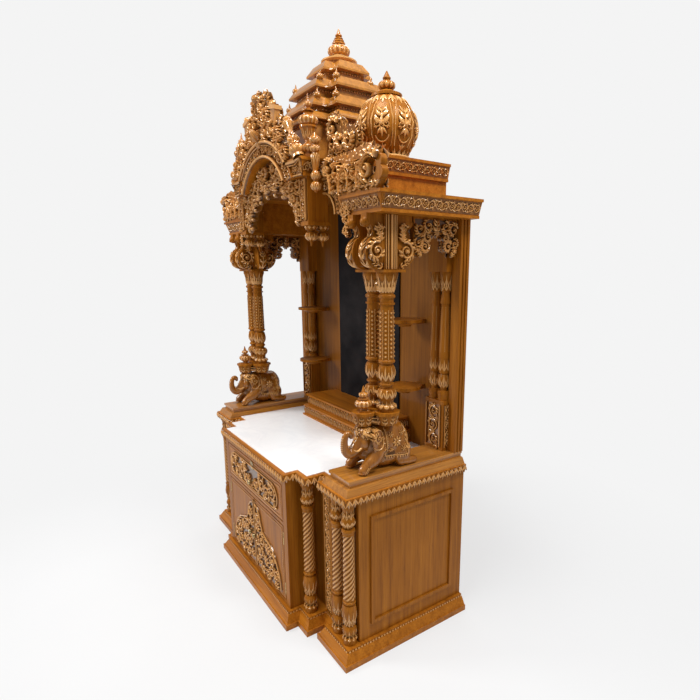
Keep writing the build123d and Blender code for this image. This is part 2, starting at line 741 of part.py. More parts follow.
def elephants():
    """The elephant on each wing step, facing the front."""
    return both_sides(Pos(COLUMN_X, FRONT + ELEPHANT_FRONT, STEP_TOP) * elephant())


def octagon(low_width, high_width, low, high, x, y):
    """Eight-sided block that may flare from one width to another."""
    lower = RegularPolygon(low_width / 2, 8, major_radius=False, rotation=22.5)
    upper = RegularPolygon(high_width / 2, 8, major_radius=False, rotation=22.5)
    return Pos(x, y, low) * loft([lower, Pos(0, 0, high - low) * upper], ruled=True)


def column_pedestals():
    """Flaring eight-sided blocks on the elephant's back: one in front, two for the columns."""
    lip = PEDESTAL_HEIGHT * 0.2
    group = None
    places = [
        (COLUMN_X - COLUMN_SPACING / 2, COLUMN_Y, PEDESTAL_WIDTH),
        (COLUMN_X + COLUMN_SPACING / 2, COLUMN_Y, PEDESTAL_WIDTH),
        (COLUMN_X, FRONT_PEDESTAL_Y, FRONT_PEDESTAL_WIDTH),
    ]
    for x, y, width in places:
        shaft = octagon(width * 0.68, width * 0.9, PEDESTAL_LOW, COLUMN_BASE - lip, x, FRONT + y)
        cap = octagon(width, width, COLUMN_BASE - lip, COLUMN_BASE, x, FRONT + y)
        group = shaft + cap if group is None else group + shaft + cap
    return both_sides(group)


KALASH = [
    ("straight", 0.8, 0.05), ("straight", 0.45, 0.07), ("taper", 0.7, 0.05), ("bead", 1.0, 0.28),
    ("straight", 0.5, 0.04), ("straight", 0.66, 0.03), ("straight", 0.3, 0.05),
    ("bead", 0.56, 0.17), ("straight", 0.22, 0.04), ("taper", 0.03, 0.22),
]


def pedestal_kalashes():
    """Small vase finial on the front block of each elephant."""
    steps = scaled_steps(KALASH, KALASH_RADIUS, KALASH_HEIGHT)
    return both_sides(turned(steps, (COLUMN_X, FRONT + FRONT_PEDESTAL_Y, COLUMN_BASE)))


FRONT_COLUMN = [
    ("straight", 1.35, 0.02), ("bead", 1.5, 0.03), ("straight", 0.95, 0.025),
    ("taper", 1.15, 0.02), ("bead", 1.42, 0.075), ("straight", 0.85, 0.02), ("bead", 1.1, 0.025),
    ("straight", 0.9, 0.01), ("taper", 1.05, 0.02), ("bead", 1.25, 0.1), ("straight", 0.9, 0.012),
    ("bead", 1.25, 0.03), ("straight", 1.05, 0.01), ("taper", 0.98, 0.38),
    ("straight", 1.2, 0.012), ("straight", 1.0, 0.03), ("bead", 1.25, 0.03),
    ("straight", 0.98, 0.011), ("taper", 1.2, 0.07), ("taper", 1.55, 0.045),
    ("straight", 1.6, 0.025),
]


def front_columns():
    """Two turned columns side by side at each front corner of the shrine."""
    steps = scaled_steps(FRONT_COLUMN, COLUMN_RADIUS, CAPITAL_TOP - COLUMN_BASE)
    column = turned(steps)
    pieces = []
    for x in (COLUMN_X - COLUMN_SPACING / 2, COLUMN_X + COLUMN_SPACING / 2):
        pieces.append(Pos(x, FRONT + COLUMN_Y, COLUMN_BASE) * column)
        pieces.append(Pos(-x, FRONT + COLUMN_Y, COLUMN_BASE) * column)
    return Compound(children=pieces)


def scroll_bracket(direction):
    """Swelling leaf bracket with a ball at its tip, turned to a direction in degrees about Z."""
    rise, reach, half = BRACKET_HEIGHT, BRACKET_REACH, BRACKET_WIDTH / 2
    tip = reach - BRACKET_BALL * 0.75
    edges = [
        Line((0, 0), (reach * 0.25, 0)),
        ThreePointArc((reach * 0.25, 0), (reach, rise * 0.32), (reach * 0.55, rise * 0.6)),
        ThreePointArc((reach * 0.55, rise * 0.6), (reach * 0.6, rise * 0.74),
                      (reach * 0.9, rise * 0.86)),
        Line((reach * 0.9, rise * 0.86), (reach * 0.9, rise)),
        Line((reach * 0.9, rise), (0, rise)),
        Line((0, rise), (0, 0)),
    ]
    side = extrude(Plane.XZ * make_face(Wire(edges)), half, both=True)
    front_edges = [
        Line((-half * 0.5, 0), (half * 0.5, 0)),
        ThreePointArc((half * 0.5, 0), (half, rise * 0.32), (half * 0.72, rise * 0.62)),
        Line((half * 0.72, rise * 0.62), (half * 0.72, rise)),
        Line((half * 0.72, rise), (-half * 0.72, rise)),
        Line((-half * 0.72, rise), (-half * 0.72, rise * 0.62)),
        ThreePointArc((-half * 0.72, rise * 0.62), (-half, rise * 0.32), (-half * 0.5, 0)),
    ]
    front = extrude(Plane.YZ * make_face(Wire(front_edges)), reach)
    ball = Pos(tip, 0, rise - BRACKET_BALL * 1.5) * Sphere(BRACKET_BALL)
    return Rot(0, 0, direction) * (side & front) + Rot(0, 0, direction) * ball


def bracket_capitals():
    """Slab and square post over each pair of columns, with leaf brackets on three sides."""
    centre = Pos(COLUMN_X, FRONT + COLUMN_Y, 0)
    slab = centre * block((-ABACUS_LENGTH / 2, ABACUS_LENGTH / 2),
                          (-ABACUS_WIDTH / 2, ABACUS_WIDTH / 2), (CAPITAL_TOP, BRACKET_LOW))
    post = centre * block((-POST_LENGTH / 2, POST_LENGTH / 2), (-POST_WIDTH / 2, POST_WIDTH / 2),
                          (BRACKET_LOW, CORNICE_BOTTOM))
    group = slab + post
    for offset in (-COLUMN_SPACING / 2, COLUMN_SPACING / 2):
        for turn, sign in ((-90, -1), (90, 1)):
            place = Pos(COLUMN_X + offset, FRONT + COLUMN_Y + sign * POST_WIDTH / 2, BRACKET_LOW)
            group += place * scroll_bracket(turn)
    inner = Pos(COLUMN_X - POST_LENGTH / 2, FRONT + COLUMN_Y, BRACKET_LOW)
    group += inner * scroll_bracket(180)
    return both_sides(group)


def lobes(corners, depth):
    """Arcs from corner to corner along a line, each bulging to its left by a depth."""
    edges = []
    for start, end in zip(corners, corners[1:]):
        run = math.hypot(end[0] - start[0], end[1] - start[1])
        bulge = min(depth, run * 0.4)
        middle = ((start[0] + end[0]) / 2 - (end[1] - start[1]) / run * bulge,
                  (start[1] + end[1]) / 2 + (end[0] - start[0]) / run * bulge)
        edges.append(ThreePointArc(start, middle, end))
    return edges


def lobed_arch(half_span, spring, crown, count, depth):
    """Arch with pointed cusps between round lobes, from one foot to the other."""
    corners = []
    for index in range(count + 1):
        angle = math.pi * index / count
        corners.append((-half_span * math.cos(angle), spring + (crown - spring) * math.sin(angle)))
    return lobes(corners, depth)


def side_valances():
    """Carved board with a lobed arch over each open side of the shrine."""
    near = FRONT + COLUMN_Y + POST_WIDTH / 2 + BRACKET_REACH + BRACKET_CLEAR
    far = BACK - BACK_POST_DEPTH
    half = (far - near) / 2
    low = BRACKET_LOW + SIDE_VALANCE_LOW
    arch_half = half - SIDE_VALANCE_FOOT
    edges = lobed_arch(arch_half, low, CORNICE_BOTTOM - SIDE_VALANCE_CROWN, 5, SIDE_VALANCE_LOBE)
    edges.append(Line((arch_half, low), (half, low)))
    edges.append(Line((half, low), (half, CORNICE_BOTTOM)))
    edges.append(Line((half, CORNICE_BOTTOM), (-half, CORNICE_BOTTOM)))
    edges.append(Line((-half, CORNICE_BOTTOM), (-half, low)))
    edges.append(Line((-half, low), (-arch_half, low)))
    plane = Plane(origin=(COLUMN_X + SIDE_VALANCE_OUT, (near + far) / 2, 0), x_dir=(0, 1, 0),
                  z_dir=(1, 0, 0))
    return both_sides(extrude(plane * make_face(Wire(edges)), SIDE_VALANCE_THICK))


def cornice(x_range, y_range, low, height, flare, inner_flare=0.0):
    """Cornice block: lower fillet, outward sloping frieze and upper fillet; flat at the back."""
    def outline(inset):
        inner = inset if inner_flare else 0
        return rectangle(x_range, y_range, inset, 0, inner)

    high = low + height
    body = plate(outline(flare * 0.85), low, low + CORNICE_FILLET)
    body += tapered(outline(flare), outline(flare * 0.3), low + CORNICE_FILLET,
                    high - CORNICE_FILLET)
    body += plate(outline(0), high - CORNICE_FILLET, high)
    return body


def wing_cornices():
    """Lower cornice over each wing."""
    return both_sides(cornice((WING_CORNICE_INNER, WING_CORNICE_OUTER),
                              (FRONT + WING_CORNICE_FRONT, BACK), CORNICE_BOTTOM,
                              CORNICE_HEIGHT, CORNICE_FLARE))


def wing_risers():
    """Plain block between the two cornices of each wing."""
    riser = block((WING_CORNICE_INNER, RISER_OUTER), (FRONT + RISER_FRONT, BACK),
                  (CORNICE_TOP, UPPER_BOTTOM))
    return both_sides(riser)


def upper_cornices():
    """Upper cornice of each wing, from the canopy to beyond the riser."""
    return both_sides(cornice((CANOPY_HALF_WIDTH - UPPER_FLARE, UPPER_OUTER),
                              (FRONT + UPPER_FRONT, BACK), UPPER_BOTTOM, UPPER_HEIGHT,
                              UPPER_FLARE))


def arch_face(radius):
    """Upright half-disc face of the canopy arch, cut at the bottom of the cornice."""
    half = math.sqrt(radius ** 2 - (UPPER_BOTTOM - ARCH_CENTRE_HEIGHT) ** 2)
    top = (0, ARCH_CENTRE_HEIGHT + radius)
    arc = ThreePointArc((-half, UPPER_BOTTOM), top, (half, UPPER_BOTTOM))
    return make_face(arc + Line((half, UPPER_BOTTOM), (-half, UPPER_BOTTOM)))


def arched(radius, y_range):
    """Half disc of the arch run from one depth to another."""
    solid = extrude(Plane.XZ * arch_face(radius), -(y_range[1] - y_range[0]))
    return Pos(0, y_range[0], 0) * solid


def canopy_cornice():
    """Cornice of the projecting canopy, which rises over its front in a round arch."""
    x_range = (-CANOPY_HALF_WIDTH, CANOPY_HALF_WIDTH)
    y_range = (FRONT + CANOPY_FRONT, FRONT + UPPER_FRONT)
    straight = cornice(x_range, y_range, UPPER_BOTTOM, UPPER_HEIGHT, UPPER_FLARE, 1)
    outer = ARCH_RADIUS
    inner = ARCH_RADIUS - ARCH_BAND
    back = FRONT + UPPER_FRONT
    band = arched(outer, (FRONT + CANOPY_FRONT, back))
    frieze = arched(outer - CORNICE_FILLET, (FRONT + CANOPY_FRONT, FRONT + CANOPY_FRONT + 8))
    lip = arched(inner + CORNICE_FILLET, (FRONT + CANOPY_FRONT, FRONT + CANOPY_FRONT + 8))
    opening = arched(inner, (FRONT + CANOPY_FRONT - 10, back + 10))
    body = straight + band - (frieze - lip) - opening
    return body


def ceiling():
    """Flat ceiling board of the shrine at the level of the upper cornice."""
    inner = CANOPY_HALF_WIDTH - UPPER_FLARE
    return block((-inner, inner), (FRONT + UPPER_FRONT, BACK),
                 (UPPER_BOTTOM, UPPER_BOTTOM + SOFFIT_THICK))


def canopy_aprons():
    """Square posts that hang under the canopy's front corners."""
    outer = CANOPY_HALF_WIDTH - UPPER_FLARE
    post_y = (FRONT + APRON_SETBACK, FRONT + APRON_SETBACK + APRON_DEPTH)
    post = block((outer - APRON_WIDTH, outer), post_y, (APRON_BOTTOM + 14, UPPER_BOTTOM))
    post += block((outer - APRON_WIDTH - 4, outer + 4), (post_y[0] - 4, post_y[1] + 4),
                  (APRON_BOTTOM, APRON_BOTTOM + 14))
    return both_sides(post)


PENDANT = [
    ("straight", 0.12, 0.01), ("taper", 0.25, 0.24), ("straight", 0.45, 0.05),
    ("bead", 1.0, 0.42), ("straight", 0.6, 0.08), ("straight", 0.9, 0.1), ("straight", 1.0, 0.1),
]


def canopy_pendants():
    """Turned drops under the hanging posts, two to a post."""
    drop = turned(scaled_steps(PENDANT, PENDANT_RADIUS, PENDANT_HEIGHT))
    x = CANOPY_HALF_WIDTH - UPPER_FLARE - APRON_WIDTH / 2
    pieces = []
    for y in (APRON_SETBACK + PENDANT_RADIUS, APRON_SETBACK + APRON_DEPTH - PENDANT_RADIUS / 2):
        for side in (-1, 1):
            pieces.append(Pos(side * x, FRONT + y, APRON_BOTTOM - PENDANT_HEIGHT) * drop)
    return Compound(children=pieces)


def canopy_valance():
    """Pierced board with a lobed edge that hangs inside the canopy arch between the posts."""
    outer = CANOPY_HALF_WIDTH - UPPER_FLARE - APRON_WIDTH
    radius = ARCH_RADIUS - ARCH_BAND
    half = math.sqrt(radius ** 2 - (UPPER_BOTTOM - ARCH_CENTRE_HEIGHT) ** 2)
    low = APRON_BOTTOM + VALANCE_FOOT
    inner = outer - VALANCE_BAND
    crown = ARCH_CENTRE_HEIGHT + radius - VALANCE_CROWN_DEPTH
    edges = lobed_arch(inner, low, crown, 9, VALANCE_LOBE)
    edges.append(Line((inner, low), (outer, low)))
    edges.append(Line((outer, low), (outer, UPPER_BOTTOM)))
    edges.append(Line((outer, UPPER_BOTTOM), (half, UPPER_BOTTOM)))
    edges.append(ThreePointArc((half, UPPER_BOTTOM), (0, ARCH_CENTRE_HEIGHT + radius),
                               (-half, UPPER_BOTTOM)))
    edges.append(Line((-half, UPPER_BOTTOM), (-outer, UPPER_BOTTOM)))
    edges.append(Line((-outer, UPPER_BOTTOM), (-outer, low)))
    edges.append(Line((-outer, low), (-inner, low)))
    board = extrude(Plane.XZ * make_face(Wire(edges)), -VALANCE_THICK)
    return Pos(0, FRONT + VALANCE_SETBACK, 0) * board


def wing_arches():
    """Half arch in the same moulding that falls from the canopy to each wing post."""
    start_x = CANOPY_HALF_WIDTH - UPPER_FLARE
    outer = WING_CORNICE_INNER - start_x
    inner = outer - WING_ARCH_BAND
    centre = (start_x, UPPER_BOTTOM - outer)
    half_turn = math.radians(45)

    def corner(radius, angle):
        return (centre[0] + radius * math.cos(angle), centre[1] + radius * math.sin(angle))

    edges = [
        ThreePointArc(corner(outer, math.pi / 2), corner(outer, half_turn), corner(outer, 0)),
        Line(corner(outer, 0), corner(inner, 0)),
        ThreePointArc(corner(inner, 0), corner(inner, half_turn), corner(inner, math.pi / 2)),
        Line(corner(inner, math.pi / 2), corner(outer, math.pi / 2)),
    ]
    band = extrude(Plane.XZ * make_face(Wire(edges)), -WING_ARCH_DEPTH)
    return both_sides(Pos(0, FRONT + UPPER_FRONT, 0) * band)


CREST_EDGE = [
    # share of the half width, share of the height
    (1.0, 0.03), (0.93, 0.22), (0.87, 0.41), (0.74, 0.56), (0.63, 0.69), (0.42, 0.77),
    (0.33, 0.92), (0.10, 1.0),
]


def canopy_crest():
    """Tall board with a leafy edge that stands on the arch."""
    foot_half = math.sqrt(ARCH_RADIUS ** 2 - (UPPER_TOP - ARCH_CENTRE_HEIGHT) ** 2)
    half = CANOPY_HALF_WIDTH - CREST_MARGIN
    right = [(half * share, UPPER_TOP + CREST_HEIGHT * rise) for share, rise in CREST_EDGE]
    left = [(-x, z) for x, z in right]
    edges = lobes(left + right[::-1], CREST_THICK * 0.4)
    edges.append(Line(right[0], (half, UPPER_TOP)))
    edges.append(Line((half, UPPER_TOP), (foot_half, UPPER_TOP)))
    edges.append(ThreePointArc((foot_half, UPPER_TOP), (0, ARCH_CENTRE_HEIGHT + ARCH_RADIUS),
                               (-foot_half, UPPER_TOP)))
    edges.append(Line((-foot_half, UPPER_TOP), (-half, UPPER_TOP)))
    edges.append(Line((-half, UPPER_TOP), left[0]))
    board = extrude(Plane.XZ * make_face(Wire(edges)), -CREST_THICK)
    return Pos(0, FRONT + CREST_SETBACK, 0) * board


HORN = [
    ("straight", 0.5, 0.03), ("bead", 1.0, 0.2), ("straight", 0.55, 0.03), ("bead", 0.92, 0.16),
    ("straight", 0.6, 0.03), ("taper", 0.85, 0.07), ("taper", 0.42, 0.36),
    ("straight", 0.55, 0.03), ("bead", 0.6, 0.09),
]


def crest_horns():
    """Turned baluster that leans from each front corner of the canopy towards the crest."""
    horn = turned(scaled_steps(HORN, HORN_RADIUS, HORN_LENGTH))
    foot_x = CANOPY_HALF_WIDTH - HORN_RADIUS / 2
    y = FRONT + HORN_SETBACK
    leaning = Pos(foot_x, y, UPPER_TOP) * Rot(0, -HORN_LEAN, 0) * horn
    stand = block((foot_x - HORN_RADIUS * 1.6, foot_x), (y - HORN_RADIUS / 2, FRONT + CREST_SETBACK),
                  (UPPER_TOP, UPPER_TOP + HORN_RADIUS))
    below = block((0, CANOPY_HALF_WIDTH * 2), (y - HORN_LENGTH, y + HORN_LENGTH),
                  (UPPER_TOP - HORN_LENGTH, UPPER_TOP))
    return both_sides(leaning + stand - below)


def keystone():
    """Flaring block that leans forward over the crown of the arch."""
    face_y = FRONT + CANOPY_FRONT
    top = ARCH_CENTRE_HEIGHT + ARCH_RADIUS
    half = KEYSTONE_WIDTH / 2
    side_edges = [
        Line((face_y, top - ARCH_BAND * 0.45), (face_y, top + CORNICE_FILLET)),
        Line((face_y, top + CORNICE_FILLET), (face_y - KEYSTONE_REACH * 0.8, top + KEYSTONE_RISE)),
        Line((face_y - KEYSTONE_REACH * 0.8, top + KEYSTONE_RISE),
             (face_y - KEYSTONE_REACH, top + KEYSTONE_RISE * 0.55)),
        ThreePointArc((face_y - KEYSTONE_REACH, top + KEYSTONE_RISE * 0.55),
                      (face_y - KEYSTONE_REACH * 0.4, top - ARCH_BAND * 0.1),
                      (face_y, top - ARCH_BAND * 0.45)),
    ]
    return extrude(Plane.YZ * make_face(Wire(side_edges)), half, both=True)


URN = [
    ("straight", 0.75, 0.05), ("straight", 0.5, 0.04), ("bead", 0.8, 0.13),
    ("straight", 0.42, 0.05), ("taper", 0.8, 0.2), ("straight", 0.92, 0.025),
    ("straight", 0.75, 0.01), ("bead", 1.0, 0.145), ("straight", 0.5, 0.03),
    ("taper", 0.35, 0.04), ("straight", 0.62, 0.02), ("straight", 0.3, 0.04),
    ("bead", 0.42, 0.08), ("straight", 0.16, 0.02), ("taper", 0.03, 0.12),
]


def canopy_urns():
    """Ribbed vase finial on each front corner of the canopy."""
    steps = scaled_steps(URN, URN_RADIUS, URN_HEIGHT)
    x = CANOPY_HALF_WIDTH - URN_INSET
    return both_sides(turned(steps, (x, FRONT + URN_SETBACK, UPPER_TOP)))


DROP = [
    ("straight", 0.3, 0.02), ("bead", 1.0, 0.17), ("straight", 0.5, 0.02), ("bead", 0.9, 0.15),
    ("straight", 0.55, 0.02), ("taper", 0.8, 0.26), ("straight", 0.6, 0.03),
    ("bead", 0.95, 0.12), ("straight", 0.5, 0.02), ("bead", 1.05, 0.13), ("taper", 0.1, 0.06),
]


def corner_drops():
    """Carved spindle with ball ends, fixed to the side face of the canopy corner."""
    spindle = turned(scaled_steps(DROP, DROP_RADIUS, DROP_HEIGHT))
    x = CANOPY_HALF_WIDTH + DROP_RADIUS * 1.2
    y = FRONT + CANOPY_FRONT + DROP_SETBACK
    arm = block((CANOPY_HALF_WIDTH, x), (y - DROP_RADIUS / 2, y + DROP_RADIUS / 2),
                (UPPER_TOP - CORNICE_FILLET, UPPER_TOP))
    return both_sides(Pos(x, y, UPPER_TOP + DROP_RISE - DROP_HEIGHT) * spindle + arm)


SCROLL_EDGE = [
    # share of the width from the canopy outwards, share of the height
    (0.0, 0.62), (0.01, 0.90), (0.10, 1.0), (0.22, 0.92), (0.35, 0.96), (0.47, 0.86),
    (0.60, 0.96), (0.73, 1.0), (0.86, 0.96), (0.95, 0.80), (1.0, 0.52), (0.99, 0.22),
]
SCROLL_EYES = [
    # share of the width, share of the height, share of the largest eye
    (0.86, 0.52, 1.0), (0.67, 0.50, 0.62), (0.53, 0.46, 0.6), (0.39, 0.50, 0.6),
    (0.26, 0.58, 0.5), (0.12, 0.80, 0.42),
]


def pierced(edges, eyes, place, largest):
    """Face inside a closed run of edges, with round eyes at shares of its width and height."""
    face = make_face(Wire(edges))
    for across, rise, size in eyes:
        face -= Pos(*place(across, rise)) * Circle(size * largest)
    return face


def wing_scrolls():
    """Pierced scroll board from the canopy to the outer end of the lower cornice."""
    near = CANOPY_HALF_WIDTH + SCROLL_CLEAR
    width = WING_CORNICE_OUTER - near

    def place(share, rise):
        return (near + width * share, CORNICE_TOP + SCROLL_HEIGHT * rise)

    edge = [place(share, rise) for share, rise in SCROLL_EDGE]
    foot = (WING_CORNICE_INNER, CORNICE_TOP)
    heel = place(0.94, 0)
    edges = lobes(edge, SCROLL_THICK * 0.5)
    edges.append(Line(edge[-1], heel))
    edges.append(Line(heel, foot))
    middle = ((foot[0] + edge[0][0]) / 2 + SCROLL_THICK * 0.3,
              (foot[1] + edge[0][1]) / 2 + SCROLL_THICK * 0.3)
    edges.append(ThreePointArc(foot, middle, edge[0]))
    board = extrude(Plane.XZ * pierced(edges, SCROLL_EYES, place, SCROLL_EYE), SCROLL_THICK)
    return both_sides(Pos(0, FRONT + UPPER_FRONT, 0) * board)


WING_CREST_EDGE = [
    # share of the width from the canopy outwards, share of the height
    (0.0, 0.05), (0.0, 0.45), (0.03, 0.82), (0.20, 1.0), (0.36, 0.84), (0.48, 0.62),
    (0.64, 0.52), (0.80, 0.54), (0.94, 0.45), (1.0, 0.20), (0.98, 0.05),
]
WING_CREST_EYES = [
    # share of the width, share of the height, share of the largest eye
    (0.20, 0.68, 1.0), (0.17, 0.32, 0.7), (0.44, 0.34, 0.9), (0.70, 0.28, 0.8),
]


def wing_crests():
    """Pierced leafy board on the upper cornice, between the canopy and the dome."""
    near = CANOPY_HALF_WIDTH + WING_CREST_CLEAR
    width = UPPER_OUTER - near

    def place(share, rise):
        return (near + width * share, UPPER_TOP + WING_CREST_HEIGHT * rise)

    edge = [place(share, rise) for share, rise in WING_CREST_EDGE]
    edges = lobes(edge, WING_CREST_THICK * 0.5)
    edges.append(Line(edge[-1], (edge[-1][0], UPPER_TOP)))
    edges.append(Line((edge[-1][0], UPPER_TOP), (near, UPPER_TOP)))
    edges.append(Line((near, UPPER_TOP), edge[0]))
    board = extrude(Plane.XZ * pierced(edges, WING_CREST_EYES, place, WING_CREST_EYE),
                    -WING_CREST_THICK)
    return both_sides(Pos(0, FRONT + UPPER_FRONT + WING_CREST_SETBACK, 0) * board)


def cross_outline(arm, reach):
    """Plan of a tier: a square cross with arms of one half width and reach, cut at the back."""
    back = BACK - FRONT - ROOF_CENTRE_Y
    half = [
        (arm, -reach), (arm, -arm), (reach, -arm), (reach, min(arm, back)),
    ]
    if back > arm:
        half += [(arm, arm), (arm, min(reach, back))]
    points = half + [(-x, y) for x, y in reversed(half)]
    return [(x, y + FRONT + ROOF_CENTRE_Y) for x, y in points]


def roof_tier(index):
    """One tier of the roof: a plain wall under a sloping eave, with finials on middle tiers."""
    arm, reach, wall_height, height = ROOF_TIERS[index]
    low = ROOF_BOTTOM + sum(tier[2] + tier[3] for tier in ROOF_TIERS[:index])
    eave = low + wall_height
    inner_arm, inner_reach = arm - EAVE_OVERHANG, reach - EAVE_OVERHANG
    tier = plate(cross_outline(inner_arm, inner_reach), low, eave)
    tier += plate(cross_outline(arm, reach), eave, eave + height * 0.2)
    tier += tapered(cross_outline(arm, reach),
                    cross_outline(inner_arm + EAVE_LANDING, inner_reach + EAVE_LANDING),
                    eave + height * 0.2, eave + height)
    if index in (1, 2):
        finial = turned(scaled_steps(TIER_FINIAL, TIER_FINIAL_RADIUS, TIER_FINIAL_HEIGHT))
        across, along = arm - TIER_FINIAL_INSET, reach - TIER_FINIAL_SETBACK
        for x, y in ((across, -along), (along, -across), (along, across * 0.5)):
            for side in (-1, 1):
                tier += Pos(side * x, FRONT + ROOF_CENTRE_Y + y, eave + height * 0.45) * finial
    return tier


TIER_FINIAL = [
    ("straight", 0.5, 0.2), ("bead", 1.0, 0.44), ("straight", 0.3, 0.06), ("taper", 0.05, 0.3),
]

CROWN = [
    ("straight", 0.75, 0.05), ("straight", 1.0, 0.05), ("taper", 0.5, 0.08),
    ("taper", 0.34, 0.12), ("bead", 0.74, 0.27), ("straight", 0.36, 0.03),
    ("straight", 0.46, 0.04), ("taper", 0.3, 0.03), ("straight", 0.38, 0.03),
    ("taper", 0.24, 0.04), ("straight", 0.3, 0.02), ("taper", 0.16, 0.04), ("bead", 0.24, 0.06),
    ("taper", 0.03, 0.14),
]


def crown_finial():
    """Disc, ribbed vase and ringed spire at the top of the roof."""
    steps = scaled_steps(CROWN, DISC_RADIUS, CROWN_HEIGHT)
    return turned(steps, (0, FRONT + ROOF_CENTRE_Y, ROOF_TOP))


DOME_CAP = [
    ("straight", 1.15, 0.1), ("taper", 0.5, 0.16), ("straight", 0.3, 0.06), ("bead", 0.62, 0.28),
    ("straight", 0.25, 0.08), ("bead", 0.3, 0.1), ("taper", 0.04, 0.22),
]


def dome_profile(grow):
    """Half profile of the dome over its foot, grown outwards by an amount."""
    low, high = DOME_FOOT_HEIGHT, DOME_HEIGHT
    widest = high * 0.55
    foot, cap = DOME_FOOT_RADIUS + grow, DOME_CAP_RADIUS + grow
    return [
        ThreePointArc((foot, low), (DOME_RADIUS + grow, widest), (cap, high)),
        Line((cap, high), (0, high)),
        Line((0, high), (0, low)),
        Line((0, low), (foot, low)),
    ]


def wing_domes():
    """Onion dome with raised ribs, on a round foot, with a cap and finial, over each wing."""
    dome = revolve(Plane.XZ * make_face(Wire(dome_profile(0))), Axis.Z)
    dome += Pos(0, 0, DOME_FOOT_HEIGHT / 2) * Cylinder(DOME_FOOT_RADIUS, DOME_FOOT_HEIGHT)
    rib = extrude(Plane.XZ * make_face(Wire(dome_profile(DOME_RIB_PROUD))), DOME_RIB_WIDTH / 2,
                  both=True)
    for index in range(DOME_RIBS):
        dome += Rot(0, 0, (index + 0.5) * 360 / DOME_RIBS) * rib
    dome += turned(scaled_steps(DOME_CAP, DOME_CAP_RADIUS, DOME_CAP_HEIGHT), (0, 0, DOME_HEIGHT))
    return both_sides(Pos(DOME_X, FRONT + DOME_Y, UPPER_TOP) * dome)


save("plinth", plinth())
save("base_sides", base_sides())
save("cabinet_carcass", cabinet_carcass())
save("drawer", drawer())
save("drawer_fittings", drawer_fittings())
save("door_left", door(-1))
save("door_right", door(1))
save("door_fittings_left", door_fittings(-1))
save("door_fittings_right", door_fittings(1))
save("frame_hinges", frame_hinges())
save("base_columns", base_columns())
save("base_top", base_top())
save("marble_top", marble_top())
save("wing_steps", wing_steps())
save("deity_platform", deity_platform())
save("back_wall", back_wall())
save("back_panel", back_panel())
save("wall_shelves", wall_shelves())
save("pilasters", pilasters())
save("back_posts", back_posts())
save("elephants", elephants())
save("column_pedestals", column_pedestals())
save("pedestal_kalashes", pedestal_kalashes())
save("front_columns", front_columns())
save("bracket_capitals", bracket_capitals())
save("side_valances", side_valances())
save("wing_cornices", wing_cornices())
save("wing_risers", wing_risers())
save("upper_cornices", upper_cornices())
save("canopy_cornice", canopy_cornice())
save("ceiling", ceiling())
save("canopy_aprons", canopy_aprons())
save("canopy_pendants", canopy_pendants())
save("canopy_valance", canopy_valance())
save("wing_arches", wing_arches())
save("canopy_crest", canopy_crest())
save("crest_horns", crest_horns())
save("keystone", keystone())
save("canopy_urns", canopy_urns())
save("corner_drops", corner_drops())
save("wing_scrolls", wing_scrolls())
save("wing_crests", wing_crests())
for number in range(len(ROOF_TIERS)):
    save(f"roof_tier_{number + 1}", roof_tier(number))
save("crown_finial", crown_finial())
save("wing_domes", wing_domes())
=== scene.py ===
"""Looks of the carved teak home temple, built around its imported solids. Metres, +Z up."""
import math
import random

import bmesh
import bpy
import numpy as np
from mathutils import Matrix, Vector
from mathutils.bvhtree import BVHTree
from mathutils.geometry import tessellate_polygon

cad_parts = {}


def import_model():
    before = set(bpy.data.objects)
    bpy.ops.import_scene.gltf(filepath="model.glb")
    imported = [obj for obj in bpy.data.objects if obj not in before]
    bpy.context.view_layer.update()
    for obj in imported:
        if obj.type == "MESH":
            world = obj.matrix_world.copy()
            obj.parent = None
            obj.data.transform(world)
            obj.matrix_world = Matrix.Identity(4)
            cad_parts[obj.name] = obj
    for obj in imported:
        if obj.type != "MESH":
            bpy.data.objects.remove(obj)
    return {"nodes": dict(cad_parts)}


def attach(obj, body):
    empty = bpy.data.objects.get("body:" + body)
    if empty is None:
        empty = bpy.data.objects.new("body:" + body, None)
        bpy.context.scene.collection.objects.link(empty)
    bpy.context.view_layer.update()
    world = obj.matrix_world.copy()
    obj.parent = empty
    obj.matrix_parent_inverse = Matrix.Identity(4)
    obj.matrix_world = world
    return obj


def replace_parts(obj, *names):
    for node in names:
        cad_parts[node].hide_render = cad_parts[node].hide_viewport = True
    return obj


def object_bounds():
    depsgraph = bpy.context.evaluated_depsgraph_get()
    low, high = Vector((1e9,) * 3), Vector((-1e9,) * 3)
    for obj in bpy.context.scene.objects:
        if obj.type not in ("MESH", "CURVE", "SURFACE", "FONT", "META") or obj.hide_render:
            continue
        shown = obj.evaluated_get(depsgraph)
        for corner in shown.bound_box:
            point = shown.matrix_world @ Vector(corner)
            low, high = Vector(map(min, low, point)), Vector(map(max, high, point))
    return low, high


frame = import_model()
cad_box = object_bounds()
nodes = frame["nodes"]
TEMPLE = "temple"
MM = 0.001
UP = math.pi / 2


# Materials

def fill(tree, node, values):
    """Sets or links inputs and settings of a node; underscores in input names mean spaces."""
    for key, value in values.items():
        name = key.replace("_", " ")
        if name not in node.inputs:
            setattr(node, key, value)
        elif isinstance(value, bpy.types.NodeSocket):
            tree.links.new(value, node.inputs[name])
        else:
            node.inputs[name].default_value = value
    return node


def new_material(name):
    """New material, a function that adds a node and gives an output, and one for its shader."""
    material = bpy.data.materials.new(name)
    material.use_nodes = True
    tree = material.node_tree

    def add(kind, output, **values):
        return fill(tree, tree.nodes.new(kind), values).outputs[output]

    def shade(**values):
        fill(tree, tree.nodes["Principled BSDF"], values)
    return material, add, shade


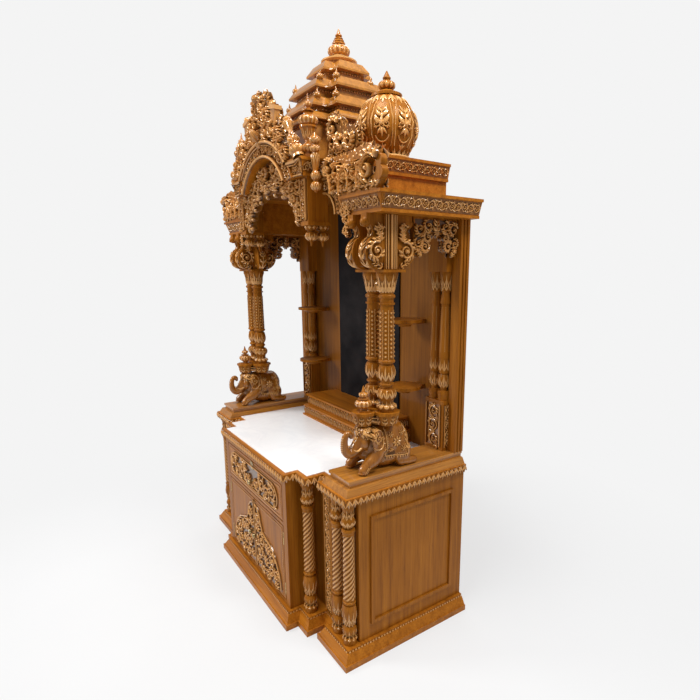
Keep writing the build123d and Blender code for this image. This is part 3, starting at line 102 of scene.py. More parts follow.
def ramp(add, source, stops):
    """Colour by a value, from (place, colour) stops."""
    colour = add("ShaderNodeValToRGB", "Color", Fac=source)
    elements = colour.node.color_ramp.elements
    while len(elements) < len(stops):
        elements.new(0.5)
    for element, (place, shade) in zip(elements, stops):
        element.position = place
        element.color = (*shade, 1)
    return colour


def noise(add, place, scale, detail, roughness=0.5, distortion=0.0):
    """Cloudy pattern."""
    return add("ShaderNodeTexNoise", "Fac", Scale=scale, Detail=detail, Roughness=roughness,
               Distortion=distortion, Vector=place)


def between(add, source, low, high):
    """Value moved into a range."""
    return add("ShaderNodeMapRange", "Result", To_Min=low, To_Max=high, Value=source)


def mix(add, factor, first, second, kind="MIX"):
    """Blend of two colours."""
    return add("ShaderNodeMix", "Result", data_type="RGBA", blend_type=kind, Factor=factor,
               A=first, B=second)


GRAIN_SCALE = {"x": (0.9, 30, 30), "y": (30, 0.9, 30), "z": (30, 30, 0.9)}
TEAK_LIGHT = (0.47, 0.170, 0.016)
TEAK_MIDDLE = (0.36, 0.118, 0.008)
TEAK_DARK = (0.25, 0.074, 0.004)
# Dark stain together with painted shade, for the carved hollows.
STAIN_AND_SHADE = (0.045, 0.014, 0.003, 1)
# Painted highlight for the tops of carved ridges.
PAINTED_HIGHLIGHT = (0.80, 0.44, 0.15, 1)
VARNISH = (1.0, 0.66, 0.30, 1)
# Tint of a painted sheen that pales the teak tones.
PALE = (0.3, 1.0, 0.5)
WHITE, BLACK = (1, 1, 1), (0, 0, 0)


def teak(name, grain="z", carved=False, tone=1.0, roughness=0.38, coat=0.2, painted_sheen=0.0):
    """Satin varnished teak: long grain, fine pores, dark stain and painted shade in carved hollows.
    """
    material, add, shade = new_material(name)
    place = add("ShaderNodeTexCoord", "Object")
    stretched = add("ShaderNodeMapping", "Vector", Scale=GRAIN_SCALE[grain], Vector=place)
    bands = noise(add, stretched, 1.4, 6.0, 0.68, 0.25)
    pores = noise(add, stretched, 7.0, 3.0, 0.7)
    patches = noise(add, place, 3.2, 2.0)
    # Tones paled by the amount of painted sheen asked for.
    light, middle, dark = [tuple(min(1, c * tone + painted_sheen * h) for c, h in zip(colour, PALE))
                           for colour in (TEAK_LIGHT, TEAK_MIDDLE, TEAK_DARK)]
    wood = ramp(add, bands, [(0.30, dark), (0.5, middle), (0.72, light)])
    streak = ramp(add, pores, [(0.34, (0.60, 0.52, 0.45)), (0.50, WHITE), (1.0, WHITE)])
    cloud = ramp(add, patches, [(0.35, (0.93, 0.91, 0.88)), (0.65, (1.05, 1.05, 1.05))])
    colour = mix(add, 1.0, mix(add, 0.7, wood, streak, "MULTIPLY"), cloud, "MULTIPLY")
    if carved:
        relief = add("ShaderNodeAttribute", "Fac", attribute_name="relief")
        # Low relief mixes in the dark stain together with painted shade of the hollows.
        depth = ramp(add, relief, [(0.0, WHITE), (0.38, (0.55, 0.55, 0.55)), (0.78, BLACK)])
        # High relief mixes in a painted highlight on the ridge tops.
        edge = ramp(add, relief, [(0.62, BLACK), (1.0, (0.75, 0.75, 0.75))])
        colour = mix(add, edge, mix(add, depth, colour, STAIN_AND_SHADE), PAINTED_HIGHLIGHT)
    shade(Base_Color=colour, Roughness=between(add, pores, roughness - 0.07, roughness + 0.12),
          Normal=add("ShaderNodeBump", "Normal", Strength=0.12, Distance=0.0006, Height=pores),
          Specular_IOR_Level=0.5 if carved else 0.3, Specular_Tint=VARNISH, Coat_Weight=coat,
          Coat_Roughness=0.10)
    return material


def marble():
    """Polished white marble with faint grey veins."""
    material, add, shade = new_material("marble")
    place = add("ShaderNodeTexCoord", "Object")
    veins = ramp(add, noise(add, place, 3.4, 8.0, 0.6, 1.6),
                 [(0.44, (0.95, 0.95, 0.945)), (0.50, (0.91, 0.912, 0.915)),
                  (0.56, (0.955, 0.955, 0.95))])
    shade(Base_Color=veins, Roughness=between(add, noise(add, place, 40.0, 2.0), 0.16, 0.3))
    return material


def black_cloth():
    """Matt black backing cloth with a fine weave."""
    material, add, shade = new_material("black_cloth")
    place = add("ShaderNodeTexCoord", "Object")
    weave = add("ShaderNodeTexWave", "Fac", Scale=260.0, Distortion=1.0, Vector=place)
    mottle = ramp(add, noise(add, place, 9.0, 3.0), [(0.3, (0.006, 0.005, 0.006)),
                                                     (0.7, (0.022, 0.018, 0.018))])
    shade(Base_Color=mottle, Roughness=0.85, Specular_IOR_Level=0.15,
          Normal=add("ShaderNodeBump", "Normal", Strength=0.3, Distance=0.0005, Height=weave))
    return material


def brass():
    """Aged brass, darker in patches."""
    material, add, shade = new_material("aged_brass")
    patina = noise(add, add("ShaderNodeTexCoord", "Object"), 130.0, 4.0, 0.6)
    shade(Base_Color=ramp(add, patina, [(0.35, (0.16, 0.10, 0.045)), (0.6, (0.55, 0.41, 0.19))]),
          Roughness=between(add, patina, 0.42, 0.22), Metallic=1.0)
    return material


# Raised tones on the boards, roof and steps are painted light.
TEAK_X = teak("teak_along_x", "x", tone=1.08, coat=0.15)
TEAK_ROOF = teak("teak_roof", "x", tone=1.12, roughness=0.3, coat=1.0, painted_sheen=0.035)
TEAK_Y = teak("teak_along_y", "y", tone=1.12, coat=0.85, painted_sheen=0.03)
# Lowered tone on the uprights is painted shade.
TEAK_Z = teak("teak_upright", tone=0.86, coat=0.03)
# Raised tone of the turned parts is painted light.
TEAK_BRIGHT = teak("teak_turned", tone=1.1, roughness=0.3, coat=0.9)
TEAK_SHADE = teak("teak_inner", tone=0.62, roughness=0.46)
# Darker copy for boards behind dense carving: stain and painted shade.
TEAK_DEEP = teak("teak_stain_and_shade", tone=0.5, roughness=0.6)
CARVED = teak("teak_carved", carved=True, roughness=0.34, coat=0.8)
# Lighter carved copy: painted light.
CARVED_PAINTED_LIT = teak("teak_carved_painted_lit", carved=True, tone=1.4, roughness=0.34, coat=0.9,
                    painted_sheen=0.04)
# Darker carved copy for the valance under the canopy: painted shade.
CARVED_PAINTED_SHADE = teak("teak_carved_painted_shade", carved=True, tone=0.82, roughness=0.34, coat=0.9)
MARBLE = marble()
CLOTH = black_cloth()
BRASS = brass()


# Carving kit: shapes are made in flat (u, v, h) millimetres and then laid on a surface

SHARP_ANGLE = math.radians(40)
SINK = 0.3
GROUND_STEP, GROUND_LEVEL = 12.0, 0.5
FAN_HALF_SPREAD = 1.1


class Carving:
    """Vertices, faces and relief heights of one carved piece."""

    def __init__(self):
        self.points = []
        self.faces = []
        self.relief = []
        self.count = 0

    def add(self, points, faces, relief):
        """Adds points, quads that number them, and a relief height for all or for each."""
        points = np.asarray(points, float).reshape(-1, 3)
        self.points.append(points)
        self.faces.append(np.asarray(faces, int) + self.count)
        self.relief.append(np.broadcast_to(np.asarray(relief, float), len(points)))
        self.count += len(points)

    def joined(self):
        """Points, faces and relief heights of everything made so far."""
        return [np.concatenate(part) for part in (self.points, self.faces, self.relief)]

    def merge(self, other, place=None):
        """Adds another carving, with its points sent through a placing function."""
        points, faces, relief = other.joined()
        self.add(place(points) if place else points, faces, relief)

    def piece(self, name, material, body=TEMPLE, slot="teak"):
        """Blender object of the carving, riding on a body."""
        points, faces, relief = self.joined()
        mesh = bpy.data.meshes.new(name)
        mesh.from_pydata(np.clip(points, *cad_box).tolist(), [],
                         [tuple(dict.fromkeys(f)) for f in faces.tolist()])
        mesh.update()
        # Relief heights steer the carved teak's stain and painted shade in hollows and its painted
        # highlight on ridges.
        attribute = mesh.attributes.new("relief", "FLOAT", "POINT")
        attribute.data.foreach_set("value", relief.astype(np.float32))
        mesh.materials.append(material)
        piece = bpy.data.objects.new(name, mesh)
        bpy.context.scene.collection.objects.link(piece)
        for polygon in mesh.polygons:
            polygon.use_smooth = True
        mesh.set_sharp_from_angle(angle=SHARP_ANGLE)
        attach(piece, body)
        return piece


def flipped(carving):
    """Mirror image of a carving across u = 0."""
    points, faces, relief = carving.joined()
    result = Carving()
    result.add(points * (-1, 1, 1), faces[:, ::-1], relief)
    return result


def both(carving, name, material=CARVED):
    """Piece of a carving and its mirror image on the temple's other side."""
    carving.merge(flipped(carving))
    return carving.piece(name, material)


def by_turns(index):
    """1 for odd numbers and -1 for even ones."""
    return 1 if index % 2 else -1


def grid_faces(rows, columns, closed=False):
    """Quads of a grid of points, row by row; closed joins the last column to the first."""
    across = columns if closed else columns - 1
    row, column = np.meshgrid(np.arange(rows - 1), np.arange(across), indexing="ij")
    following = (column + 1) % columns
    corners = [row * columns + column, row * columns + following,
               (row + 1) * columns + following, (row + 1) * columns + column]
    return np.stack(corners, -1).reshape(-1, 4)


HALF_ROUND = np.array([(-1, 0), (-0.72, 0.72), (0, 1), (0.72, 0.72), (1, 0)])
FULL_ROUND = np.array([(-1, 0), (-0.7, 0.75), (0.7, 0.75), (1, 0), (0.7, -0.75), (-0.7, -0.75)])


def stroke(carving, path, width, height, through=False):
    """Rounded ridge along a path; width and height are one number or one a point."""
    path = np.asarray(path, float)
    count = len(path)
    width = np.broadcast_to(np.asarray(width, float), count)
    height = np.broadcast_to(np.asarray(height, float), count)
    run = np.gradient(path, axis=0)
    run /= np.linalg.norm(run, axis=1)[:, None] + 1e-12
    side = np.stack([-run[:, 1], run[:, 0]], 1)
    section = FULL_ROUND if through else HALF_ROUND
    across = path[:, None, :] + side[:, None, :] * (width[:, None] * section[:, 0])[..., None]
    up = height[:, None] * section[:, 1]
    points = np.concatenate([across, up[..., None]], 2)
    relief = np.broadcast_to(np.abs(section[:, 1]), up.shape)
    faces = grid_faces(count, len(section), closed=through)
    carving.add(points, faces[:, ::-1], relief.reshape(-1))


def walk(base, headings, step):
    """Path from a point that takes one step along each heading but the last."""
    path = [np.asarray(base, float)]
    for heading in headings[:-1]:
        path.append(path[-1] + step * np.array([math.cos(heading), math.sin(heading)]))
    return path


def petal(carving, base, angle, length, width, height, bend=0.0, through=False):
    """Leaf lobe that leaves a point at an angle, swells, bends and comes to a tip."""
    path = walk(base, angle + bend * np.linspace(0, 1, 6), length / 5)
    swell = np.array([0.35, 0.8, 1.0, 0.85, 0.5, 0.05])
    stroke(carving, path, width * swell, height * (0.35 + 0.65 * swell), through)


def fan(carving, base, angle, length, width, height, lobes=5, through=False):
    """Spray of leaf lobes around one direction, longest in the middle."""
    for index in range(lobes):
        share = (index - (lobes - 1) / 2) / max(1, (lobes - 1) / 2)
        petal(carving, base, angle + share * FAN_HALF_SPREAD, length * (1 - 0.38 * abs(share)),
              width, height, share * 0.7, through)


def volute(carving, centre, radius, start, turns, width, height, hand=1, leaves=5,
           through=False):
    """Spiral stem that winds in to a round bud, with leaf lobes on its outer side."""
    steps = max(10, int(14 * turns))
    t = np.linspace(0, 1, steps)
    angle = start + hand * t * turns * 2 * math.pi
    reach = radius * (1 - 0.78 * t ** 0.85)
    path = np.stack([centre[0] + reach * np.cos(angle), centre[1] + reach * np.sin(angle)], 1)
    stroke(carving, path, width * (1 - 0.45 * t), height * (0.75 + 0.25 * t), through)
    dome(carving, centre, radius * 0.19, height * 1.1)
    if through:
        dome(carving, centre, radius * 0.19, -height * 1.1)
    for index in range(leaves):
        place = int((0.06 + 0.5 * index / max(1, leaves)) * steps)
        petal(carving, path[place], angle[place] + hand * 0.75, radius * 0.62, width * 1.15,
              height * 0.95, hand * 0.9, through)


def dome(carving, centre, radius, height, around=8, up=3):
    """Round bud, upside down where its height is below zero."""
    points, relief = [], []
    for tilt in np.linspace(0, UP, up + 1)[:-1]:
        for turn in np.linspace(0, 2 * math.pi, around, endpoint=False):
            points.append((centre[0] + radius * math.cos(tilt) * math.cos(turn),
                           centre[1] + radius * math.cos(tilt) * math.sin(turn),
                           height * math.sin(tilt)))
            relief.append(0.35 + 0.65 * math.sin(tilt))
    points.append((*centre, height))
    relief.append(1.0)
    faces = grid_faces(up, around, closed=True).tolist()
    top = up * around
    last = top - around
    faces += [[last + k, last + (k + 1) % around, top, top] for k in range(around)]
    if height < 0:
        faces = [f[::-1] for f in faces]
    carving.add(points, faces, relief)


def bead(carving, centre, radius, height):
    """Small round bead."""
    dome(carving, centre, radius, height, around=6, up=2)


def rosette(carving, centre, radius, height, petals=8, through=False):
    """Flower of petals around a bud."""
    for index in range(petals):
        angle = 2 * math.pi * index / petals
        start = (centre[0] + 0.28 * radius * math.cos(angle),
                 centre[1] + 0.28 * radius * math.sin(angle))
        petal(carving, start, angle, radius * 0.72, radius * 0.26, height, through=through)
    dome(carving, centre, radius * 0.3, height * 1.3)


def acanthus(carving, base, angle, length, width, height, pairs=3, curl=0.0):
    """Leaf with a raised midrib and pairs of curved lobes that shrink towards its tip."""
    steps = 8
    turn = angle + curl * np.linspace(0, 1, steps)
    path = walk(base, turn, length / (steps - 1))
    taper = np.linspace(1, 0.25, steps)
    stroke(carving, path, width * 0.11 * taper, height * (0.6 + 0.4 * taper))
    for index in range(pairs):
        share = (index + 0.35) / pairs
        place = int(share * (steps - 1))
        size = width * (0.72 - 0.30 * share)
        for hand in (-1, 1):
            petal(carving, path[place], turn[place] + hand * 1.05, size, size * 0.24,
                  height * 0.85, -hand * 0.9)


def vine(carving, length, band, pitch, height, leaves):
    """Running scroll along a strip: volutes turned up and down by turns on a wavy stem."""
    count = max(1, round(length / pitch))
    pitch = length / count
    u = np.linspace(0, length, count * 10 + 1)
    stem = np.stack([u, band * 0.30 * np.sin(math.pi * u / pitch)], 1)
    stroke(carving, stem, band * 0.05, height * 0.7)
    for index in range(count):
        up = -by_turns(index)
        centre = ((index + 0.5) * pitch, -up * band * 0.05)
        volute(carving, centre, min(band * 0.40, pitch * 0.45), UP * up + 0.6, 1.35,
               band * 0.065, height, hand=-up, leaves=leaves)
        fan(carving, (index * pitch, -up * band * 0.36), UP * up, band * 0.34, band * 0.06,
            height * 0.8, lobes=3)


def ground(carving, length, band):
    """Thin dark sheet under a strip of carving, from u = 0 and centred on v = 0: stain and painted
    shade.
    """
    count = max(2, int(length / GROUND_STEP) + 1)
    u = np.repeat(np.linspace(0, length, count), 3)
    v = np.tile([-band / 2, 0, band / 2], count)
    points = np.stack([u, v, np.full_like(u, GROUND_LEVEL)], 1)
    carving.add(points, grid_faces(count, 3)[:, ::-1], 0.5)


def leaf_scroll(length, band, pitch, height, leaves=5, border=0.0):
    """Running scroll on a dark ground, with an optional raised border along both edges."""
    carving = Carving()
    ground(carving, length, band)
    vine(carving, length, band - 2 * border, pitch, height, leaves)
    if border:
        for side in (-1, 1):
            v = side * (band - border) / 2
            stroke(carving, [(0, v), (length / 2, v), (length, v)], border / 2, height * 1.05)
    return carving


def lay_sheet(carving, points, level=GROUND_LEVEL):
    """Thin dark ground inside a closed outline: stain and painted shade."""
    outline = [Vector((x, z, 0)) for x, z in points]
    corners = [(x, z, level) for x, z in points]
    faces = []
    for a, b, c in tessellate_polygon([outline]):
        p, q, r = corners[a], corners[b], corners[c]
        turn = (q[0] - p[0]) * (r[1] - p[1]) - (q[1] - p[1]) * (r[0] - p[0])
        faces.append([a, b, c, c] if turn > 0 else [a, c, b, b])
    carving.add(corners, faces, 0.1)


def board(carving, outline, low, high, level=0.12):
    """Flat board between two heights, with a closed outline; low relief levels give it stain and
    painted shade.
    """
    area = sum(x * z2 - x2 * z for (x, z), (x2, z2) in zip(outline, outline[1:] + outline[:1]))
    outline = outline if area > 0 else outline[::-1]
    sheet = Carving()
    lay_sheet(sheet, outline, high)
    points, faces, _ = sheet.joined()
    carving.add(points, faces, level)
    carving.add(points + (0, 0, low - high), faces[:, ::-1], level)
    count = len(outline)
    rim = [(x, z, low) for x, z in outline] + [(x, z, high) for x, z in outline]
    sides = [[k, (k + 1) % count, count + (k + 1) % count, count + k] for k in range(count)]
    carving.add(rim, sides, level + 0.15)


def bead_row(carving, start, end, pitch, radius):
    """Row of beads between two points."""
    start, end = np.asarray(start, float), np.asarray(end, float)
    count = max(1, round(np.linalg.norm(end - start) / pitch))
    for index in range(count):
        bead(carving, start + (end - start) * (index + 0.5) / count, radius, radius * 0.9)


def tongue_row(carving, length, low, high, pitch, height):
    """Row of upright rounded tongues, each with a rim and a plump core."""
    count = max(1, round(length / pitch))
    pitch = length / count
    rise = high - low
    bend = np.linspace(-0.15 * math.pi, 1.15 * math.pi, 9)
    for index in range(count):
        u = (index + 0.5) * pitch
        rim = [u - 0.40 * pitch * np.cos(bend), low + rise * (0.45 + 0.5 * np.sin(bend))]
        stroke(carving, np.stack(rim, 1), pitch * 0.085, height * 0.8)
        petal(carving, (u, low + rise * 0.08), UP, rise * 0.72, pitch * 0.2, height)


def shell_row(carving, length, low, high, pitch, height):
    """Row of small hanging shells of three lobes each."""
    count = max(1, round(length / pitch))
    pitch = length / count
    for index in range(count):
        u = (index + 0.5) * pitch
        for spread in (-0.55, 0, 0.55):
            petal(carving, (u, high), -UP + spread, (high - low) * (1 - 0.12 * abs(spread)),
                  pitch * 0.21, height)
        bead(carving, (u, high - 3), pitch * 0.24, height * 1.15)


def lathe(carving, profile, segments, shape=None):
    """Turned solid from (radius, height) points; shape may change the radius by angle and place."""
    profile = np.asarray(profile, float)
    angle = np.linspace(0, 2 * math.pi, segments, endpoint=False)
    radius = np.repeat(profile[:, :1], segments, 1)
    if shape is not None:
        radius = radius * shape(angle[None, :], np.linspace(0, 1, len(profile))[:, None])
    z = np.repeat(profile[:, 1:], segments, 1)
    points = np.stack([radius * np.cos(angle), radius * np.sin(angle), z], -1)
    # Relief 1 gives the whole turned piece the carved teak's painted highlight.
    carving.add(points, grid_faces(len(profile), segments, closed=True), 1.0)


# Placing functions, which take points from millimetres to their place in metres

X, Y, Z = (1, 0, 0), (0, 1, 0), (0, 0, 1)
FRONT, BACK = -302.0, 302.0
ROOF_MIDDLE = FRONT + 444


def face(origin, along, up):
    """Flat face: u runs along, v runs up and h stands out."""
    origin, along, up = (np.asarray(v, float) for v in (origin, along, up))
    normal = np.cross(along, up)
    return lambda points: (origin + points[:, :1] * along + points[:, 1:2] * up
                           + points[:, 2:] * normal) * MM


def facing(depth):
    """Upright face that looks forward, at a depth behind the body's front."""
    return face((0, FRONT + depth, 0), X, Z)


def turned_to(flat, along):
    """A carving for a face that runs along (1) or against (-1) its axis."""
    return flat if along > 0 else flipped(flat)


def tree_of(points, faces):
    """Search tree of a mesh given by points in metres."""
    return BVHTree.FromPolygons([tuple(p) for p in points], [tuple(f) for f in faces])


def search_tree(node):
    """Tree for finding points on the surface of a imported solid."""
    mesh = nodes[node].data
    return tree_of([vertex.co for vertex in mesh.vertices],
                   [polygon.vertices for polygon in mesh.polygons])


def settle(tree, origin, along, up):
    """Lowers a flat carving onto the surface behind it."""
    normal = Vector(np.cross(along, up))
    base = face(origin, along, up)

    def place(points):
        flat = base(points * (1, 1, 0))
        result = np.empty_like(flat)
        for index, start in enumerate(flat):
            start = Vector(start)
            hit = tree.ray_cast(start, -normal)[0] or tree.find_nearest(start)[0]
            result[index] = hit + normal * ((points[index, 2] - SINK) * MM)
        return result
    return place


def onto(node, origin, along, up):
    """Lowers a flat carving onto a solid's sloping or curved face."""
    return settle(search_tree(node), origin, along, up)


def around(node, x, y, radius, start, reach):
    """Wraps a carving round an upright axis, out to the solid's surface within reach."""
    tree = search_tree(node)

    def place(points):
        result = np.empty_like(points)
        for index, (u, v, h) in enumerate(points):
            angle = math.radians(start) + u / radius
            out = Vector((math.cos(angle), math.sin(angle), 0))
            axis = Vector((x * MM, y * MM, v * MM))
            hit = tree.ray_cast(axis + out * (reach * MM), -out)[0]
            if hit is None:
                hit = axis + out * (radius * MM)
            result[index] = hit + out * ((h - SINK) * MM)
        return result
    return place


def bent(radius, centre, depth):
    """Along a round arch: u clockwise from its top and v out from its centre."""
    def place(points):
        angle = UP - points[:, 0] / radius
        reach = radius + points[:, 1]
        return np.stack([centre[0] + reach * np.cos(angle), FRONT + depth - points[:, 2],
                         centre[1] + reach * np.sin(angle)], 1) * MM
    return place


def leaned(carving, foot, direction, relief):
    """Copy of an upright carving in metres, leaning from a foot, with one relief height."""
    points, faces, _ = carving.joined()
    turn = np.array(Vector(direction).to_track_quat("Z", "Y").to_matrix())
    result = Carving()
    # The one relief level sets how much painted highlight the leaned piece takes.
    result.add((points @ turn.T + foot) * MM, faces, relief)
    return result


def ring_of(carving, make, x, y, count, node, radius, reach, start=0.0):
    """Repeats a carving round an upright axis, centred on u = 0 each time."""
    base = Carving()
    make(base)
    for index in range(count):
        carving.merge(base, around(node, x, y, radius, start + 360 * index / count, reach))


def leaf_ring(carving, node, x, y, reach, radius, low, high, count, height, down=False,
              start=0.0):
    """Ring of upright or hanging leaves round a turned part."""
    half = math.pi * radius / count

    def make(base):
        foot, heading = ((0, high), -UP) if down else ((0, low), UP)
        for spread in (-0.5, 0.5):
            petal(base, foot, heading + spread, (high - low) * 0.72, half * 0.42, height * 0.85,
                  -spread * 0.6)
        petal(base, foot, heading, high - low, half * 0.42, height)
    ring_of(carving, make, x, y, count, node, radius, reach, start)


def leaf_rings(carving, node, x, y, reach, rings, low=0.0, rise=1.0):
    """Leaf rings (radius, foot, top, count, height...), feet and tops as shares of a rise."""
    for radius, foot, top, *rest in rings:
        leaf_ring(carving, node, x, y, reach, radius, low + foot * rise, low + top * rise, *rest)


def ribs(carving, node, x, y, reach, radius, low, high, count, height):
    """Upright ribs that swell round a turned part."""
    def make(base):
        stroke(base, [(0, low + (high - low) * t) for t in np.linspace(0, 1, 7)],
               math.pi * radius / count * 0.72, height * np.sin(np.linspace(0.25, 2.9, 7)))
    ring_of(carving, make, x, y, count, node, radius, reach)


def helix(carving, x, y, profile, strands, turns, ridge):
    """Twisted ridges round a shaft whose radius runs through (height, radius) points."""
    heights, radii = np.asarray(profile, float).T
    z = np.linspace(heights[0], heights[-1], 26)
    radius = np.interp(z, heights, radii)
    for strand in range(strands):
        angle = 2 * math.pi * (strand / strands + turns * np.linspace(0, 1, len(z)))
        half = math.pi / strands * 0.92
        rows = []
        for offset, rise in ((-1, -0.3), (-0.55, 0.7), (0, 1.0), (0.55, 0.7), (1, -0.3)):
            a = angle + offset * half
            r = radius + ridge * rise
            rows.append(np.stack([x + r * np.cos(a), y + r * np.sin(a), z], 1))
        points = np.stack(rows, 1) * MM
        relief = np.tile([0.0, 0.7, 1.0, 0.7, 0.0], len(z))
        carving.add(points, grid_faces(len(z), 5), relief)


# Carvings of the base

WING_OUT = 712.0
EDGE_INSET = 26.0
CENTRE_OUT, STEP_OUT, WING_IN = 386.0, 465.0, 492.0


def base_line(inset, wing_reach=0.0):
    """Right half of the base's stepped plan, from the middle of the front to the back."""
    return [(0, FRONT - 83 + inset), (CENTRE_OUT - inset, FRONT - 83 + inset),
            (CENTRE_OUT - inset, FRONT - 30 + inset), (STEP_OUT - inset, FRONT - 30 + inset),
            (STEP_OUT - inset, FRONT + 48 + inset),
            (WING_IN + inset - wing_reach, FRONT + 48 + inset),
            (WING_IN + inset - wing_reach, FRONT + inset), (WING_OUT - inset, FRONT + inset),
            (WING_OUT - inset, BACK)]


def follow(carving, line, z, make):
    """Lays a strip made for each run's length along an outline."""
    for start, end in zip(line, line[1:]):
        run = np.subtract(end, start)
        length = float(np.linalg.norm(run))
        strip = Carving()
        make(strip, length)
        along = (run[0] / length, run[1] / length, 0)
        carving.merge(strip, face((start[0], start[1], z), along, Z))


def carve_base():
    """Shell row under the top edge, pearls on the plinth, carved strips and twisted columns."""
    edge = Carving()
    follow(edge, base_line(EDGE_INSET, 34), 644,
           lambda strip, length: shell_row(strip, length, -15, 15, 24, 8))
    both(edge, "base_shell_row")
    pearls = Carving()
    follow(pearls, base_line(EDGE_INSET), 57,
           lambda strip, length: bead_row(strip, (0, 0), (length, 0), 13, 5.6))
    both(pearls, "plinth_pearls")
    strips = Carving()
    for x in (467, 519):
        strips.merge(leaf_scroll(540, 46, 34, 9, border=3),
                     face((x, FRONT + 78, 76), Z, (-1, 0, 0)))
    both(strips, "base_carved_strips", CARVED_PAINTED_LIT)
    columns = Carving()
    low, high = 63 + 567 * 0.336, 63 + 567 * 0.790
    for x, y in ((648, FRONT + 58), (570, FRONT + 58), (399, FRONT + 24)):
        helix(columns, x, y, [(low, 21.2), (high, 18.6)], 7, 1.9, 3.0)
        leaf_rings(columns, "base_columns", x, y, 45,
                   [(26, 84, 128, 10, 3.2), (27, 140, 205, 10, 3.2), (25, 527, 566, 10, 3.2, True),
                    (24, 574, 612, 8, 3.2)])
    both(columns, "base_column_carving")


def stadium(left, low, right, high):
    """Points round a strip with half-round ends."""
    radius = (high - low) / 2
    middle = (high + low) / 2
    turn = np.linspace(UP, 3 * UP, 12)
    points = [(left + radius + radius * math.cos(a), middle + radius * math.sin(a)) for a in turn]
    points += [(right - radius - radius * math.cos(a), middle - radius * math.sin(a))
               for a in turn]
    return points + points[:1]


PANEL_FACE = -346.0
PANEL_EDGE = 295
DOOR_LINE = [(14, 400), (40, 392), (62, 368), (74, 330), (92, 296), (130, 282), (186, 262),
             (232, 222), (262, 170), (272, 110)]
DOOR_SPOTS = [(44, 348, 24), (38, 296, 26), (84, 254, 30), (30, 236, 24), (142, 238, 32),
              (196, 206, 32), (62, 190, 30), (122, 172, 32), (236, 156, 26), (184, 144, 30),
              (36, 136, 26), (92, 122, 26), (146, 112, 22), (232, 112, 24)]


def carve_front():
    """Relief on the drawer and the doors: bead frames, scrolls and flowers."""
    place = face((0, PANEL_FACE, 0), X, Z)
    flat = Carving()
    corners = [(-PANEL_EDGE, 458), (PANEL_EDGE, 458), (PANEL_EDGE, 588), (-PANEL_EDGE, 588)]
    for start, end in zip(corners, corners[1:] + corners[:1]):
        bead_row(flat, start, end, 8, 3.2)
    stroke(flat, stadium(-270, 470, 270, 578), 4, 7)
    for side in (-1, 1):
        for index in range(4):
            x, rising = side * (62 + 54 * index), by_turns(index)
            volute(flat, (x, 539 if rising > 0 else 510), 33, 1.2 + index, 1.5, 5.5, 12,
                   hand=side * rising, leaves=7)
            fan(flat, (x + side * 24, 476 if rising > 0 else 572), UP * rising, 32, 5, 10)
    for spread in (-1, 1):
        acanthus(flat, (0, 484), UP + spread * 0.9, 62, 30, 11, curl=-spread * 0.7)
    lay_sheet(flat, stadium(-268, 472, 268, 576)[:-1])
    drawer = Carving()
    drawer.merge(flat, place)
    drawer.piece("drawer_relief", CARVED, "drawer")
    for side, body in ((-1, "door_left"), (1, "door_right")):
        flat = Carving()
        bead_row(flat, (PANEL_EDGE, 100), (PANEL_EDGE, 408), 8, 3.2)
        bead_row(flat, (14, 408), (PANEL_EDGE, 408), 8, 3.2)
        stroke(flat, [(8, 92), (8, 250), (8, 414)], 3.5, 6)
        stroke(flat, DOOR_LINE, 4.5, 8)
        lay_sheet(flat, [(14, 96), (272, 96)] + DOOR_LINE[::-1])
        for index, (x, z, radius) in enumerate(DOOR_SPOTS):
            if index % 3 == 1:
                rosette(flat, (x, z), radius * 0.95, 10)
            else:
                volute(flat, (x, z), radius, index * 1.3, 1.4, 5, 12, hand=by_turns(index),
                       leaves=7)
        for index, (x, z) in enumerate(DOOR_LINE[2:9]):
            fan(flat, (x - 6, z - 10), 1.0 + 0.12 * index, 18, 4, 9, lobes=3)
        placed = Carving()
        placed.merge(turned_to(flat, side), place)
        placed.piece(f"{body}_relief", CARVED, body)


# Carvings of the canopy, the crests and the cornices

def carve_cornices():
    """Scroll friezes of the wing cornices, the upper cornices and the canopy."""
    friezes = Carving()
    for node, sizes, start, along in (
            ("wing_cornices", (222, 42, 30, 6), (478, FRONT + 100, 1654), X),
            ("wing_cornices", (428, 42, 30, 6), (760, FRONT + 170, 1654), Y),
            ("upper_cornices", (404, 39, 29, 6), (600, FRONT + 192, 1801.5), Y),
            ("upper_cornices", (186, 39, 29, 6), (354, FRONT + 120, 1801.5), X),
            ("canopy_cornice", (88, 39, 29, 6), (420, FRONT + 80, 1801.5), Y),
            ("canopy_cornice", (84, 30, 28, 8), (264, FRONT + 20, 1793), X)):
        friezes.merge(leaf_scroll(*sizes), onto(node, start, along, Z))
    both(friezes, "cornice_friezes")


ARCH_CENTRE = 1637.9
ARCH_OUTER, ARCH_INNER = 305.0, 240.0
HALF_ARCH_OUTER, HALF_ARCH_INNER = 135.0, 75.0


def arc(piece, radius, centre, depth, spread, steps, width, height):
    """Ridge along a round arch, from its top down through an angle."""
    ridge = Carving()
    stroke(ridge, [(radius * spread * t, 0) for t in np.linspace(0, 1, steps)], width, height)
    piece.merge(ridge, bent(radius, centre, depth))


